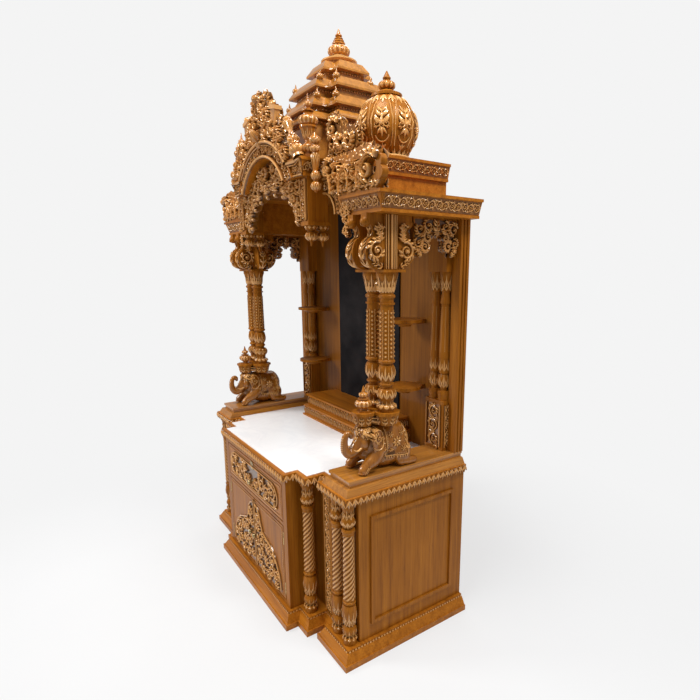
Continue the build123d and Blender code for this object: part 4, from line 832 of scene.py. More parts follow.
def carve_canopy():
    """Frieze and mouldings of the canopy arch and of the half arches beside it."""
    arch, centre = Carving(), (0, ARCH_CENTRE)
    middle = (ARCH_OUTER + ARCH_INNER) / 2
    spread = math.acos((1770 - ARCH_CENTRE) / middle)
    arch.merge(leaf_scroll(middle * spread, 44, 40, 11, leaves=6), bent(middle, centre, 75))
    for radius, foot, width, height in ((ARCH_OUTER - 5, 1826, 8, 15),
                                        (ARCH_OUTER - 17, 1826, 3, 8),
                                        (ARCH_INNER + 6, 1766, 7, 12)):
        spread = math.acos((foot - ARCH_CENTRE) / radius)
        arc(arch, radius, centre, 68, spread, 16, width, height)
    shoulders = Carving()
    for rise, near, width, height in ((1821, 240, 6, 9), (1811, 246, 2.5, 6), (1774, 238, 5, 8)):
        stroke(shoulders, [(near, rise), (296, rise), (350, rise)], width, height)
    arch.merge(shoulders, onto("canopy_cornice", (0, FRONT + 20, 0), X, Z))
    both(arch, "canopy_arch_carving")
    halves, centre = Carving(), (337, 1635)
    middle = (HALF_ARCH_OUTER + HALF_ARCH_INNER) / 2
    halves.merge(leaf_scroll(middle * UP, 40, 34, 10, leaves=6), bent(middle, centre, 170))
    for radius, width, height in ((HALF_ARCH_OUTER - 5, 7, 13), (HALF_ARCH_OUTER - 16, 3, 7),
                                  (HALF_ARCH_INNER + 5, 6, 11)):
        arc(halves, radius, centre, 170, UP, 14, width, height)
    both(halves, "half_arch_carving")


def scatter(carving, spots, height, seed):
    """Fills places (u, v, radius) with scrolls, flowers and leaves turned at random."""
    chance = random.Random(seed)
    for u, v, radius in spots:
        kind = chance.random()
        if kind < 0.5:
            volute(carving, (u, v), radius, chance.uniform(0, 6.28), 1.4, radius * 0.17, height,
                   hand=chance.choice((-1, 1)), leaves=7)
        elif kind < 0.78:
            rosette(carving, (u, v), radius, height * 0.85, petals=chance.choice((6, 8)))
        else:
            fan(carving, (u, v - radius * 0.7), UP + chance.uniform(-0.6, 0.6), radius * 1.5,
                radius * 0.2, height * 0.9)


def packed_spots(inside, box, pitch, seed):
    """Loosely packed places within an outline test, each with the radius that fits there."""
    chance = random.Random(seed)
    left, low, right, high = box
    spots = []
    row = 0
    v = low + pitch / 2
    while v < high:
        u = left + pitch * (0.25 if row % 2 else 0.75)
        while u < right:
            place = (u + chance.uniform(-0.12, 0.12) * pitch,
                     v + chance.uniform(-0.12, 0.12) * pitch)
            if inside(*place):
                spots.append((*place, pitch * chance.uniform(0.46, 0.62)))
            u += pitch
        v += pitch * 0.86
        row += 1
    return spots


def shares(points, left, width, low, height):
    """Points given as shares of a width and a height, at their real places."""
    return [(left + width * across, low + height * rise) for across, rise in points]


def inside_of(outline, margin):
    """Test for a point inside an outline and at least a margin from it."""
    def test(u, v):
        crossing = False
        for (x1, y1), (x2, y2) in zip(outline, outline[1:] + outline[:1]):
            if (y1 > v) != (y2 > v) and u < (x2 - x1) * (v - y1) / (y2 - y1) + x1:
                crossing = not crossing
            dx, dy = x2 - x1, y2 - y1
            t = max(0, min(1, ((u - x1) * dx + (v - y1) * dy) / (dx * dx + dy * dy + 1e-9)))
            if math.hypot(u - x1 - t * dx, v - y1 - t * dy) < margin:
                return False
        return crossing
    return test


CREST_EDGE = [(262, 1838), (250, 1868), (222, 1908), (190, 1945), (166, 1975), (150, 2008),
              (126, 2032), (88, 2046), (64, 2078), (42, 2104), (0, 2116)]
CREST_SCROLLS = [(34, 2066, 27, 1), (76, 2020, 27, -1), (28, 2010, 25, -1), (62, 1966, 29, 1),
                 (118, 1962, 27, 1), (168, 1938, 25, -1), (186, 1892, 28, 1), (228, 1858, 24, -1)]
CREST_FLOWERS = [(0, 2040, 15), (104, 1994, 16), (0, 1974, 20), (142, 1918, 19), (206, 1924, 14),
                 (94, 1952, 12), (50, 2092, 13), (48, 2034, 11)]
SCROLL_EDGE = [(0.0, 0.62), (0.01, 0.90), (0.10, 1.0), (0.22, 0.92), (0.35, 0.96), (0.47, 0.86),
               (0.60, 0.96), (0.73, 1.0), (0.86, 0.96), (0.95, 0.80), (1.0, 0.52), (0.99, 0.22)]
WING_CREST_EDGE = [(0.0, 0.05), (0.0, 0.45), (0.03, 0.82), (0.20, 1.0), (0.36, 0.84),
                   (0.48, 0.62), (0.64, 0.52), (0.80, 0.54), (0.94, 0.45), (1.0, 0.20),
                   (0.98, 0.05)]
BOSS_LINE = [(4, -8), (17, 0), (20, 9), (16, 19), (10, 24), (15, 30), (19, 42), (14, 58),
             (7, 68), (1, 74)]
HORN_LINE = [(22, -12), (22, -2), (14, 0), (14, 4), (24, 10), (28, 20), (24, 32), (13, 38),
             (13, 42), (19, 44), (19, 48), (12, 50), (18, 58), (22, 66), (18, 76), (9, 82),
             (14, 84), (14, 88), (8, 90), (9, 110), (14, 128), (20, 138), (20, 143), (12, 145),
             (17, 152), (15, 162), (5, 170), (1, 174)]


def leafy_edge(edge, heart, size, height):
    """Leaves that stand out all round a board's edge, pointing away from its heart."""
    leaves = Carving()
    for (x, z), (x2, z2) in zip(edge, edge[1:]):
        count = max(1, round(math.hypot(x2 - x, z2 - z) / (size * 0.9)))
        for index in range(count):
            t = (index + 0.5) / count
            u, v = x + (x2 - x) * t, z + (z2 - z) * t
            out = math.atan2(v - heart[1], u - heart[0])
            lean = 0.5 if index % 2 else -0.3
            base = (u - size * 0.25 * math.cos(out), v - size * 0.25 * math.sin(out))
            fan(leaves, base, out + lean * 0.4, size, size * 0.2, height, through=True)
            dome(leaves, base, size * 0.25, height * 1.3)
    return leaves


def leafy_rib(count):
    """Shape that gives a turned profile soft upright ribs."""
    return lambda angle, rise: 1 + 0.15 * np.cos(count * angle) * np.sin(math.pi * rise)


def carve_crest():
    """Dense leaves, scrolls and flowers over the crest board, on both its faces."""
    arch = [(ARCH_OUTER * math.sin(t), ARCH_CENTRE + ARCH_OUTER * math.cos(t))
            for t in np.linspace(0, 0.874, 9)]
    outline = CREST_EDGE + arch
    flat = Carving()
    for x, z, radius, hand in CREST_SCROLLS:
        volute(flat, (x, z), radius, 1.9 - 0.9 * hand, 1.2, radius * 0.15, 24, hand, leaves=8)
    for x, z, radius in CREST_FLOWERS:
        rosette(flat, (x, z), radius, 18, petals=6)
    chance = random.Random(21)
    for x, z, radius in packed_spots(inside_of(outline, 6), (8, 1845, 290, 2150), 36, 8):
        fan(flat, (x, z - radius * 0.6), UP + chance.uniform(-0.9, 0.9), radius * 1.3,
            radius * 0.2, 11)
    dome(flat, (0, 2098), 22, 36)
    rosette(flat, (0, 2098), 34, 14)
    board(flat, [(114, 1984), (148, 1977), (156, 2034), (120, 2042)], -14, 10, 0.62)
    board(flat, [(110, 2038), (160, 2028), (162, 2042), (113, 2053)], -18, 14, 0.8)
    dome(flat, (137, 2052), 14, 16)
    board(flat, outline, -34, 0)
    front = Carving()
    front.merge(flat, facing(74))
    front.merge(leafy_edge(CREST_EDGE, (0, 1880), 34, 18), facing(91))
    crest = both(front, "crest_carving", CARVED_PAINTED_LIT)
    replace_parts(crest, "canopy_crest")
    flat = Carving()
    scatter(flat, packed_spots(inside_of(outline, 9), (12, 1833, 290, 2150), 52, 5), 12, 12)
    back = Carving()
    back.merge(flat, face((0, FRONT + 108, 0), (-1, 0, 0), Z))
    both(back, "crest_back_carving")
    boss = Carving()
    lathe(boss, BOSS_LINE, 42, leafy_rib(7))
    knob = leaned(boss, (0, FRONT + 74, 1928), (0, -0.66, 0.75), 0.75)
    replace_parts(knob.piece("crown_boss", CARVED), "keystone")
    horn = Carving()
    lathe(horn, HORN_LINE, 48, leafy_rib(10))
    pair = leaned(horn, (316, FRONT + 76, 1840), (-0.52, 0, 0.85), 0.72)
    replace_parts(both(pair, "horn_pair", CARVED_PAINTED_LIT), "crest_horns")


def carve_scrolls():
    """Leafwork over the pierced boards beside the canopy and on the wing crests."""
    edge = shares(SCROLL_EDGE, 370.0, 354.0, 1687, 130)
    piece = Carving()
    for depth, along, seed in ((146, 1, 3), (170, -1, 4)):
        flat = Carving()
        for foot, tilt, size, curl in ((618, 1.75, 88, -1.1), (560, 1.5, 82, 0.9),
                                       (504, 1.65, 84, -0.9), (446, 1.6, 96, 0.9)):
            acanthus(flat, (foot, 1698), tilt, size, 30, 25, pairs=5, curl=curl)
        for x, z, radius, turn, hand in ((662, 1752, 50, 0.5, 1), (590, 1752, 30, 2.0, -1),
                                         (532, 1750, 29, 0.2, 1), (474, 1762, 31, 2.4, -1),
                                         (416, 1786, 30, 0.6, 1)):
            volute(flat, (x, z), radius, turn, 1.15, radius * 0.12, 22, hand, leaves=9)
            volute(flat, (x, z), radius * 0.78, turn + 0.25, 1.0, radius * 0.06, 18, hand, 0)
        chance = random.Random(seed)
        for index in range(16):
            x = 392 + index * 21.5
            z = 1702 + chance.uniform(-4, 8) + max(0, (470 - x)) * 0.9
            fan(flat, (x, z - 8), UP + chance.uniform(-0.8, 0.8), 24, 4, 10, lobes=3)
        piece.merge(turned_to(flat, along), face((0, FRONT + depth, 0), (along, 0, 0), Z))
    piece.merge(leafy_edge(edge[:-2], (560, 1715), 30, 12), facing(158))
    fall = Carving()
    for index, (x, z, radius) in enumerate(((500, 1662, 20), (486, 1640, 18), (510, 1632, 17),
                                            (492, 1612, 16), (508, 1594, 15), (494, 1578, 14),
                                            (506, 1560, 12))):
        if index % 3 == 0:
            rosette(fall, (x, z), radius, 14, through=True)
        else:
            volute(fall, (x, z), radius, index * 1.9, 1.3, 3.4, 14, by_turns(index), 6, True)
    piece.merge(fall, facing(163))
    both(piece, "wing_scroll_leaves", CARVED_PAINTED_LIT)
    edge = shares(WING_CREST_EDGE, 362.0, 185.0, 1833, 140)
    flat = Carving()
    for x, z, radius, turn, hand in ((402, 1924, 34, 0.4, 1), (402, 1872, 28, 2.5, -1),
                                     (456, 1882, 34, 0.4, -1), (512, 1872, 30, 2.6, 1)):
        volute(flat, (x, z), radius, turn, 1.15, radius * 0.18, 18, hand, leaves=9)
    for index in range(8):
        fan(flat, (374 + index * 22, 1838), UP + 0.5 * math.sin(index * 2.1), 26, 4, 9, lobes=3)
    piece = Carving()
    piece.merge(flat, facing(175))
    piece.merge(flipped(flat), face((0, FRONT + 195, 0), (-1, 0, 0), Z))
    piece.merge(leafy_edge(edge[1:-1], (450, 1860), 26, 9), facing(185))
    both(piece, "wing_crest_leaves", CARVED_PAINTED_LIT)


def carve_valance():
    """Dense foliage over the canopy's hanging board, with beads at its cusps."""
    inner, low, crown, outer = 227.0, 1620.0, 1738.0, 285.0

    def inside(u, v):
        if not 2 < u < outer - 8 or not low + 8 <= v < 1876:
            return False
        if math.hypot(u, v - ARCH_CENTRE) > 234 and v > 1762:
            return False
        return u >= inner or v >= low + (crown - low) * math.sqrt(1 - (u / inner) ** 2) + 9

    flat = Carving()
    scatter(flat, packed_spots(inside, (2, low, outer, 1880), 54, 15), 26, 31)
    for index in range(5):
        angle = math.pi * index / 9
        x, z = inner * math.cos(angle), low + (crown - low) * math.sin(angle)
        dome(flat, (x, z), 10, 15)
        fan(flat, (x + 9 * math.cos(angle), z + 14 * math.sin(angle) + 3), angle, 36, 7, 20)
    piece = Carving()
    piece.merge(flat, facing(112))
    both(piece, "valance_carving", CARVED_PAINTED_SHADE)
    aprons = Carving()
    aprons.merge(leaf_scroll(142, 40, 30, 10, leaves=6, border=4),
                 face((311, FRONT + 98, 1620), Z, (-1, 0, 0)))
    both(aprons, "apron_carving")
    drops = Carving()
    for depth in (122, 170):
        leaf_rings(drops, "canopy_pendants", 311, FRONT + depth, 40,
                   [(22, 1546, 1575, 8, 2.6), (20, 1584, 1600, 8, 2.2, True)])
    both(drops, "pendant_carving")


# Carvings of the shrine

COLUMN_PAIR, COLUMN_Y = (546.0, 628.0), FRONT + 242
FRONT_COLUMN = (587.0, FRONT + 168)
COLUMN_LOW, COLUMN_RISE = 936.0, 495.0
PILASTER_PAIR, PILASTER_Y = (535.0, 589.0), 257
PILASTER_LOW, PILASTER_RISE = 921.0, 510.0


def carve_brackets():
    """Scrolls and acanthus on the brackets, and mouldings on their posts."""
    piece = Carving()
    for x, along in ((651.0, 1), (523.0, -1)):
        for hand in (-1, 1):
            flat = Carving()
            centre = (hand * 62, 1501)
            volute(flat, centre, 33, UP + 0.4 * hand, 1.5, 6, 14, -hand * along, leaves=8)
            dome(flat, centre, 9, 18)
            for rise, size in ((1534, 34), (1548, 28), (1570, 26)):
                fan(flat, (hand * 44, rise), UP - hand * 0.5, size, 5, 11)
            volute(flat, (hand * 52, 1573), 17, 0.4, 1.2, 3.6, 11, hand, leaves=6)
            acanthus(flat, (hand * 40, 1448), UP - hand * 1.1, 44, 26, 10)
            piece.merge(turned_to(flat, along), face((x, COLUMN_Y, 0), (0, along, 0), Z))
    flat = Carving()
    for offset, width, height in ((-22, 3, 5), (-13, 4, 7), (0, 7, 10), (13, 4, 7), (22, 3, 5)):
        stroke(flat, [(offset, 1442), (offset, 1530), (offset, 1619)], width, height)
    piece.merge(flat, face((651, COLUMN_Y, 0), Y, Z))
    flat = Carving()
    acanthus(flat, (0, 1446), UP, 100, 44, 9, pairs=4)
    acanthus(flat, (0, 1538), UP, 50, 32, 8, pairs=2)
    for x, y, along in [(x, FRONT + 40, X) for x in COLUMN_PAIR] + [(400, COLUMN_Y, (0, -1, 0))]:
        piece.merge(flat, onto("bracket_capitals", (x, y, 0), along, Z))
    both(piece, "bracket_carving")


def carve_side_valances():
    """Leaves and scrolls over the side valances, inside and out."""
    near, far, low, crown = 352.0, 556.0, 1486.0, 1569.0
    half, middle = 72.0, 454.0
    flat = Carving()
    lay_sheet(flat, [(near + 4, 1490), (near + 22, 1490), (middle - half - 2, 1500),
                     (middle - half * 0.8, 1545), (middle - half * 0.45, 1568), (middle, 1578),
                     (middle + half * 0.45, 1568), (middle + half * 0.8, 1545),
                     (middle + half + 2, 1500), (far - 22, 1490), (far - 4, 1490),
                     (far - 4, 1614), (near + 4, 1614)])
    acanthus(flat, (middle, 1574), UP, 42, 40, 12)
    fan(flat, (middle, 1574), -UP, 24, 4.5, 11, through=True)
    for hand in (-1, 1):
        for u, v, radius, start, turns, width, height, twist, leaves, through in (
                (56, 1520, 20, 0.8, 1.3, 4.4, 12, 1, 8, True),
                (42, 1552, 18, 2.2, 1.2, 4.2, 12, -1, 8, True),
                (40, 1592, 21, UP, 1.3, 4, 14, -1, 7, False),
                (80, 1580, 24, 0.4, 1.3, 4.4, 15, 1, 8, False),
                (87, 1532, 19, 2.0, 1.3, 3.8, 15, -1, 7, False)):
            volute(flat, (middle + hand * u, v), radius, start, turns, width, height,
                   hand * twist, leaves, through)
        fan(flat, (middle + hand * 88, 1512), -UP, 24, 4.5, 13)
    for index in range(7):
        angle = math.pi * index / 6
        fan(flat, (middle - half * math.cos(angle), low + (crown - low) * math.sin(angle) + 8),
            math.pi - angle, 20, 4, 11)
    sides = Carving()
    for x, along in ((637.0, 1), (617.0, -1)):
        sides.merge(turned_to(flat, along), face((x, FRONT, 0), (0, along, 0), Z))
    both(sides, "side_valance_carving")


def carve_columns():
    """Leaf capitals, bead strips and leafy bulbs of the front columns and the pilasters."""
    piece = Carving()
    strip = Carving()
    bead_low, bead_high = [COLUMN_LOW + share * COLUMN_RISE for share in (0.395, 0.735)]
    bead_row(strip, (0, bead_low), (0, bead_high), 15, 5.4)
    stroke(strip, [(9.4, COLUMN_LOW + share * COLUMN_RISE) for share in (0.39, 0.56, 0.74)],
           1.6, 2.6)
    for x in COLUMN_PAIR:
        leaf_rings(piece, "front_columns", x, COLUMN_Y, 60,
                   [(30, 12 / COLUMN_RISE, 42 / COLUMN_RISE, 10, 3.4), (34, 0.10, 0.175, 10, 3.6),
                    (30, 0.23, 0.335, 8, 3.8), (28, 0.86, 0.99, 8, 4.6),
                    (28, 0.86, 0.94, 8, 4.2, False, 22.5)], COLUMN_LOW, COLUMN_RISE)
        for index in range(8):
            piece.merge(strip, around("front_columns", x, COLUMN_Y, 24, 45 * index, 60))
    leaf = Carving()
    acanthus(leaf, (0, 889), UP, 34, 26, 5, pairs=2)
    for x, y in [(x, COLUMN_Y) for x in COLUMN_PAIR] + [FRONT_COLUMN]:
        for side in range(8):
            turn = side * math.pi / 4
            along = (math.cos(turn), math.sin(turn), 0)
            start = (x + along[1] * 60, y - along[0] * 60, 0)
            piece.merge(leaf, onto("column_pedestals", start, along, Z))
    both(piece, "front_column_carving")
    pilasters = Carving()
    strip = Carving()
    bead_low, bead_high = [PILASTER_LOW + share * PILASTER_RISE for share in (0.39, 0.74)]
    bead_row(strip, (0, bead_low), (0, bead_high), 8, 2.6)
    for x in PILASTER_PAIR:
        leaf_rings(pilasters, "pilasters", x, PILASTER_Y, 26,
                   [(24, 0.10, 0.215, 8, 3.2), (24, 0.24, 0.33, 8, 3.2), (24, 0.86, 0.98, 8, 3.2)],
                   PILASTER_LOW, PILASTER_RISE)
        for index in range(8):
            place = around("pilasters", x, PILASTER_Y, 20, 45 * index - 90, 26)
            pilasters.merge(strip, place)
    pilasters.merge(leaf_scroll(178, 44, 34, 8, leaves=6, border=3),
                    face((616, PILASTER_Y, 726), Z, (0, -1, 0)))
    pilasters.merge(leaf_scroll(178, 84, 58, 9, leaves=7, border=4),
                    face((562, 230, 726), Z, (-1, 0, 0)))
    both(pilasters, "pilaster_carving")


def carve_platform():
    """Two rows of tongues round the deity platform."""
    piece = Carving()
    for x, y, length, low, high, along in (
            (0, 92, 338, 14, 46, X), (0, 108, 322, 64, 104, X),
            (338, 92, 190, 14, 46, Y), (322, 108, 174, 64, 104, Y)):
        row = Carving()
        tongue_row(row, length, low, high, 24, 6)
        piece.merge(row, face((x, y, 665), along, Z))
    both(piece, "platform_carving")


# Carvings of the turned parts

DOME_REACH = 150
DROP_LOW, DROP_RISE = 1711, 200
BAND_LINE = [(74, 1833.2), (87, 1833.2), (89, 1837), (86, 1842), (82, 1843)]
DISC_LINE = [(30, 2296), (66, 2300), (77, 2305), (78, 2310), (70, 2314), (48, 2322), (34, 2332),
             (26, 2336)]


def dome_motif(base):
    """Leaf, scrolls and frame between two of a dome's ribs."""
    ring = np.linspace(0, 2 * math.pi, 14)[:-1]
    lay_sheet(base, [(27 * math.cos(a), 1938 + 46 * math.sin(a)) for a in ring])
    acanthus(base, (0, 1934), UP, 56, 60, 9)
    for hand in (-1, 1):
        volute(base, (hand * 17, 1933), 15, UP, 1.2, 3.4, 9, hand, leaves=6)
        petal(base, (0, 1922), -UP + hand * 0.7, 28, 7, 8)
        stroke(base, [(hand * 35, 1866), (hand * 38, 1900), (hand * 38, 1950), (hand * 31, 2000),
                      (hand * 22, 2026)], 2.4, 4.5)
    petal(base, (0, 1922), -UP, 30, 7, 9)
    bend = np.linspace(math.pi * 1.05, math.pi * 1.95, 10)
    stroke(base, np.stack([25 * np.cos(bend), 1902 + 24 * np.sin(bend)], 1), 3, 6)
    for hand in (-1, 0, 1):
        petal(base, (0, 1858), UP + hand * 0.8, 20, 5, 6)


def carve_domes():
    """Leaf motifs between the domes' ribs, leaf rings and a band at their feet."""
    piece = Carving()
    x, y = 449.5, FRONT + 370
    ring_of(piece, dome_motif, x, y, 8, "wing_domes", 109, DOME_REACH)
    leaf_rings(piece, "wing_domes", x, y, DOME_REACH,
               [(90, 1838, 1862, 22, 6.5), (62, 2006, 2040, 16, 5.0, True)])
    leaf_ring(piece, "wing_domes", x, y, 60, 30, 2075, 2098, 10, 2.6)
    band = Carving()
    lathe(band, BAND_LINE, 48)
    piece.merge(band, face((x, y, 0), X, Y))
    both(piece, "dome_carving", CARVED_PAINTED_LIT)


def carve_turned():
    """Ribs and leaves on the urns, corner drops, vases and the crown."""
    piece = Carving()
    x, y = 325.0, FRONT + 114
    leaf_rings(piece, "canopy_urns", x, y, 60,
               [(26, 1852, 1880, 10, 2.6), (26, 1896, 1934, 10, 2.8)])
    ribs(piece, "canopy_urns", x, y, 60, 33, 1946, 1974, 14, 3.2)
    ribs(piece, "canopy_urns", x, y, 60, 14, 2006, 2022, 8, 1.8)
    leaf_rings(piece, "corner_drops", 373.6, FRONT + 113, 21,
               [(17, 0.03, 0.18, 8, 2.6), (17, 0.21, 0.36, 8, 2.6), (17, 0.40, 0.66, 7, 2.6, True),
                (17, 0.68, 0.8, 8, 2.6), (17, 0.81, 0.94, 8, 2.6)], DROP_LOW, DROP_RISE)
    ribs(piece, "pedestal_kalashes", *FRONT_COLUMN, 45, 30, 955, 978, 12, 2.6)
    ribs(piece, "pedestal_kalashes", *FRONT_COLUMN, 45, 16, 992, 1008, 8, 1.6)
    both(piece, "turned_carving")
    crown = Carving()
    x, y = 0.0, ROOF_MIDDLE
    ribs(crown, "crown_finial", x, y, 90, 44, 2338, 2370, 14, 3.0)
    leaf_ring(crown, "crown_finial", x, y, 90, 60, 2284, 2298, 20, 2.4)
    disc = Carving()
    lathe(disc, DISC_LINE, 56)
    crown.merge(disc, face((x, y, 0), X, Y))
    crown.piece("crown_carving", CARVED)


# Elephants

ELEPHANT_X, ELEPHANT_Y, ELEPHANT_Z = 587.0, FRONT + 60, 711.0
RAY_START, RAY_REACH = 0.0012, 0.03


def unit_sphere():
    """Points and faces of a closed unit sphere."""
    shape = bmesh.new()
    bmesh.ops.create_uvsphere(shape, u_segments=22, v_segments=14, radius=1.0)
    points = np.array([tuple(vertex.co) for vertex in shape.verts])
    faces = [[vertex.index for vertex in polygon.verts] for polygon in shape.faces]
    shape.free()
    return points, np.array([f if len(f) == 4 else f + f[-1:] for f in faces])


SPHERE = unit_sphere()


def ball(shape, centre, radii, tilt=0.0):
    """Adds an ellipsoid, tilted about the up axis, to a body that is being modelled."""
    points, faces = SPHERE
    points = points * radii
    turned = points.copy()
    turned[:, 0] = points[:, 0] * math.cos(tilt) - points[:, 1] * math.sin(tilt)
    turned[:, 1] = points[:, 0] * math.sin(tilt) + points[:, 1] * math.cos(tilt)
    shape.add(turned + centre, faces, 0.6)


def tube(shape, stations):
    """Adds a limb through (x, y, z, radius) stations, smoothly joined."""
    stations = np.asarray(stations, float)
    t = np.linspace(0, len(stations) - 1, 5 * len(stations))
    curve = np.stack([np.interp(t, range(len(stations)), stations[:, k]) for k in range(4)], 1)
    for _ in range(5):
        curve[1:-1] = (curve[:-2] + 2 * curve[1:-1] + curve[2:]) / 4
    for x, y, z, radius in curve:
        ball(shape, (x, y, z), (radius, radius, radius))


def elephant_body():
    """Kneeling elephant, forelegs stretched out and trunk curled up, in millimetres on level 0."""
    shape = Carving()
    ball(shape, (0, 205, 102), (60, 96, 72))
    ball(shape, (0, 150, 98), (55, 58, 74))
    ball(shape, (0, 248, 92), (58, 50, 76))
    ball(shape, (0, 205, 44), (50, 84, 46))
    ball(shape, (0, 114, 128), (38, 38, 42))
    for side in (-1, 1):
        ball(shape, (side * 16, 104, 150), (21, 24, 24))
        ball(shape, (side * 23, 98, 112), (17, 20, 26))
        ball(shape, (side * 51, 134, 128), (8, 30, 38), side * 0.32)
        ball(shape, (side * 53, 128, 102), (6, 18, 26), side * 0.30)
        tube(shape, [(side * 36, 152, 84, 29), (side * 43, 122, 48, 27), (side * 44, 102, 40, 22),
                     (side * 45, 86, 28, 19), (side * 45, 77, 18, 19)])
        ball(shape, (side * 46, 250, 54), (23, 42, 46))
        tube(shape, [(side * 50, 240, 22, 18), (side * 52, 276, 15, 15), (side * 52, 302, 15, 15)])
    ball(shape, (0, 128, 66), (36, 44, 34))
    tube(shape, [(0, 104, 118, 32), (0, 84, 98, 27), (0, 64, 80, 22), (0, 46, 72, 18.5),
                 (0, 29, 84, 16), (0, 24, 106, 14), (0, 24, 128, 12.5), (0, 30, 148, 11.5),
                 (0, 42, 155, 10.5), (0, 52, 148, 9.5), (0, 52, 138, 8)])
    tube(shape, [(0, 292, 112, 8), (2, 300, 84, 5.5), (4, 300, 56, 5), (6, 299, 40, 8)])
    mesh = bpy.data.meshes.new("elephant_body")
    points = np.concatenate(shape.points) * MM
    faces = [tuple(dict.fromkeys(f)) for f in np.concatenate(shape.faces).tolist()]
    mesh.from_pydata(points.tolist(), [], faces)
    piece = bpy.data.objects.new("elephant_body", mesh)
    bpy.context.scene.collection.objects.link(piece)
    join = piece.modifiers.new("join", "REMESH")
    join.mode = "VOXEL"
    join.voxel_size = 0.0028
    soften = piece.modifiers.new("soften", "SMOOTH")
    soften.iterations = 4
    graph = bpy.context.evaluated_depsgraph_get()
    result = bpy.data.meshes.new_from_object(piece.evaluated_get(graph))
    bpy.data.objects.remove(piece)
    for vertex in result.vertices:
        vertex.co.z = min(max(vertex.co.z, 0.0004), 0.1745)
    return result


def openness(mesh, tree):
    """Share of short rays that leave each vertex freely: low in creases, 1 on open faces."""
    chance = random.Random(6)
    rays = [Vector([chance.gauss(0, 1) for _ in range(3)]).normalized() for _ in range(9)]
    free = []
    for vertex in mesh.vertices:
        start = vertex.co + vertex.normal * RAY_START
        aims = [ray if ray.dot(vertex.normal) > 0 else -ray for ray in rays]
        clear = sum(tree.ray_cast(start, aim, RAY_REACH)[0] is None for aim in aims)
        free.append(clear / len(rays))
    return np.array(free)


def elephant_side():
    """Saddle cloth, ear, eye, toes, headband and mane of one flank, seen from outside."""
    flat = Carving()
    left, right, low, high = 172.0, 262.0, 52.0, 160.0
    lay_sheet(flat, [(left, low), (right, low), (right, high), (left, high)], 1.2)
    for a, b in (((left, low), (left, high)), ((right, low), (right, high)),
                 ((left, low), (right, low))):
        run = [(a[0] + (b[0] - a[0]) * t, a[1] + (b[1] - a[1]) * t)
               for t in np.linspace(0, 1, 10)]
        stroke(flat, run, 2.8, 5.5)
        inward = [(u + (217 - u) * 0.14, v + (108 - v) * 0.10) for u, v in (run[0], run[-1])]
        bead_row(flat, *inward, 7, 2.6)
    rosette(flat, (217, 104), 23, 7)
    for u, v in ((192, 76), (242, 76), (192, 134), (242, 134)):
        rosette(flat, (u, v), 12, 6, petals=6)
    for index in range(9):
        petal(flat, (left + 5 + index * 10, low - 1), -UP, 13, 4, 5)
    volute(flat, (134, 130), 19, 2.0, 1.3, 3.6, 5, leaves=6)
    rim = np.linspace(-2.4, 1.9, 16)
    stroke(flat, np.stack([133 + 27 * np.cos(rim), 126 + 37 * np.sin(rim)], 1), 2.4, 3.5)
    bend = np.linspace(-0.4, 3.5, 12)
    stroke(flat, np.stack([100 + 7 * np.cos(bend), 130 + 5 * np.sin(bend)], 1), 1.3, 2.6)
    dome(flat, (100, 130), 3.6, 3.6)
    for index in range(7):
        bead(flat, (88 + index * 5.5, 152 + index * 1.6), 3.4, 4)
    for offset in (0, 7):
        stroke(flat, [(72 + offset, 6), (76 + offset, 18), (86 + offset, 32)], 2.4, 3.6)
    acanthus(flat, (268, 70), UP, 60, 34, 5)
    for index in range(6):
        fan(flat, (88 + 8 * index, 150 + 2.4 * index), UP + 0.25, 20, 5, 6, lobes=4)
        petal(flat, (84 + 9 * index, 146 + 2 * index), -UP + 0.3, 15, 5, 5)
    acanthus(flat, (262, 146), -UP, 40, 24, 5, pairs=2)
    for index in range(5):
        rosette(flat, (160, 66 + 20 * index), 8, 5, petals=5)
    return flat


def elephant_front():
    """Ornament on the brow."""
    front = Carving()
    rosette(front, (0, 152), 17, 6)
    acanthus(front, (0, 138), -UP, 32, 24, 5, pairs=2)
    for index in range(9):
        bead(front, (-32 + index * 8, 166 - abs(index - 4) * 2.6), 3.6, 4.5)
    return front


def tusk(piece, side):
    """Tusk that curves forward and narrows, built in metres."""
    rows = []
    for share in np.linspace(0, 1, 12):
        x = ELEPHANT_X + side * (21 + 9 * math.sin(share * 2.0))
        z = ELEPHANT_Z + 100 - 16 * math.sin(share * 2.4) + 10 * share
        radius = 6.0 * (1 - share) ** 0.6 + 0.2
        for turn in np.linspace(0, 2 * math.pi, 10, endpoint=False):
            rows.append((x + radius * math.cos(turn), ELEPHANT_Y + 86 - 42 * share,
                         z + radius * math.sin(turn)))
    # Relief 1 gives the tusk the painted highlight.
    piece.add(np.array(rows) * MM, grid_faces(12, 10, closed=True), 1.0)


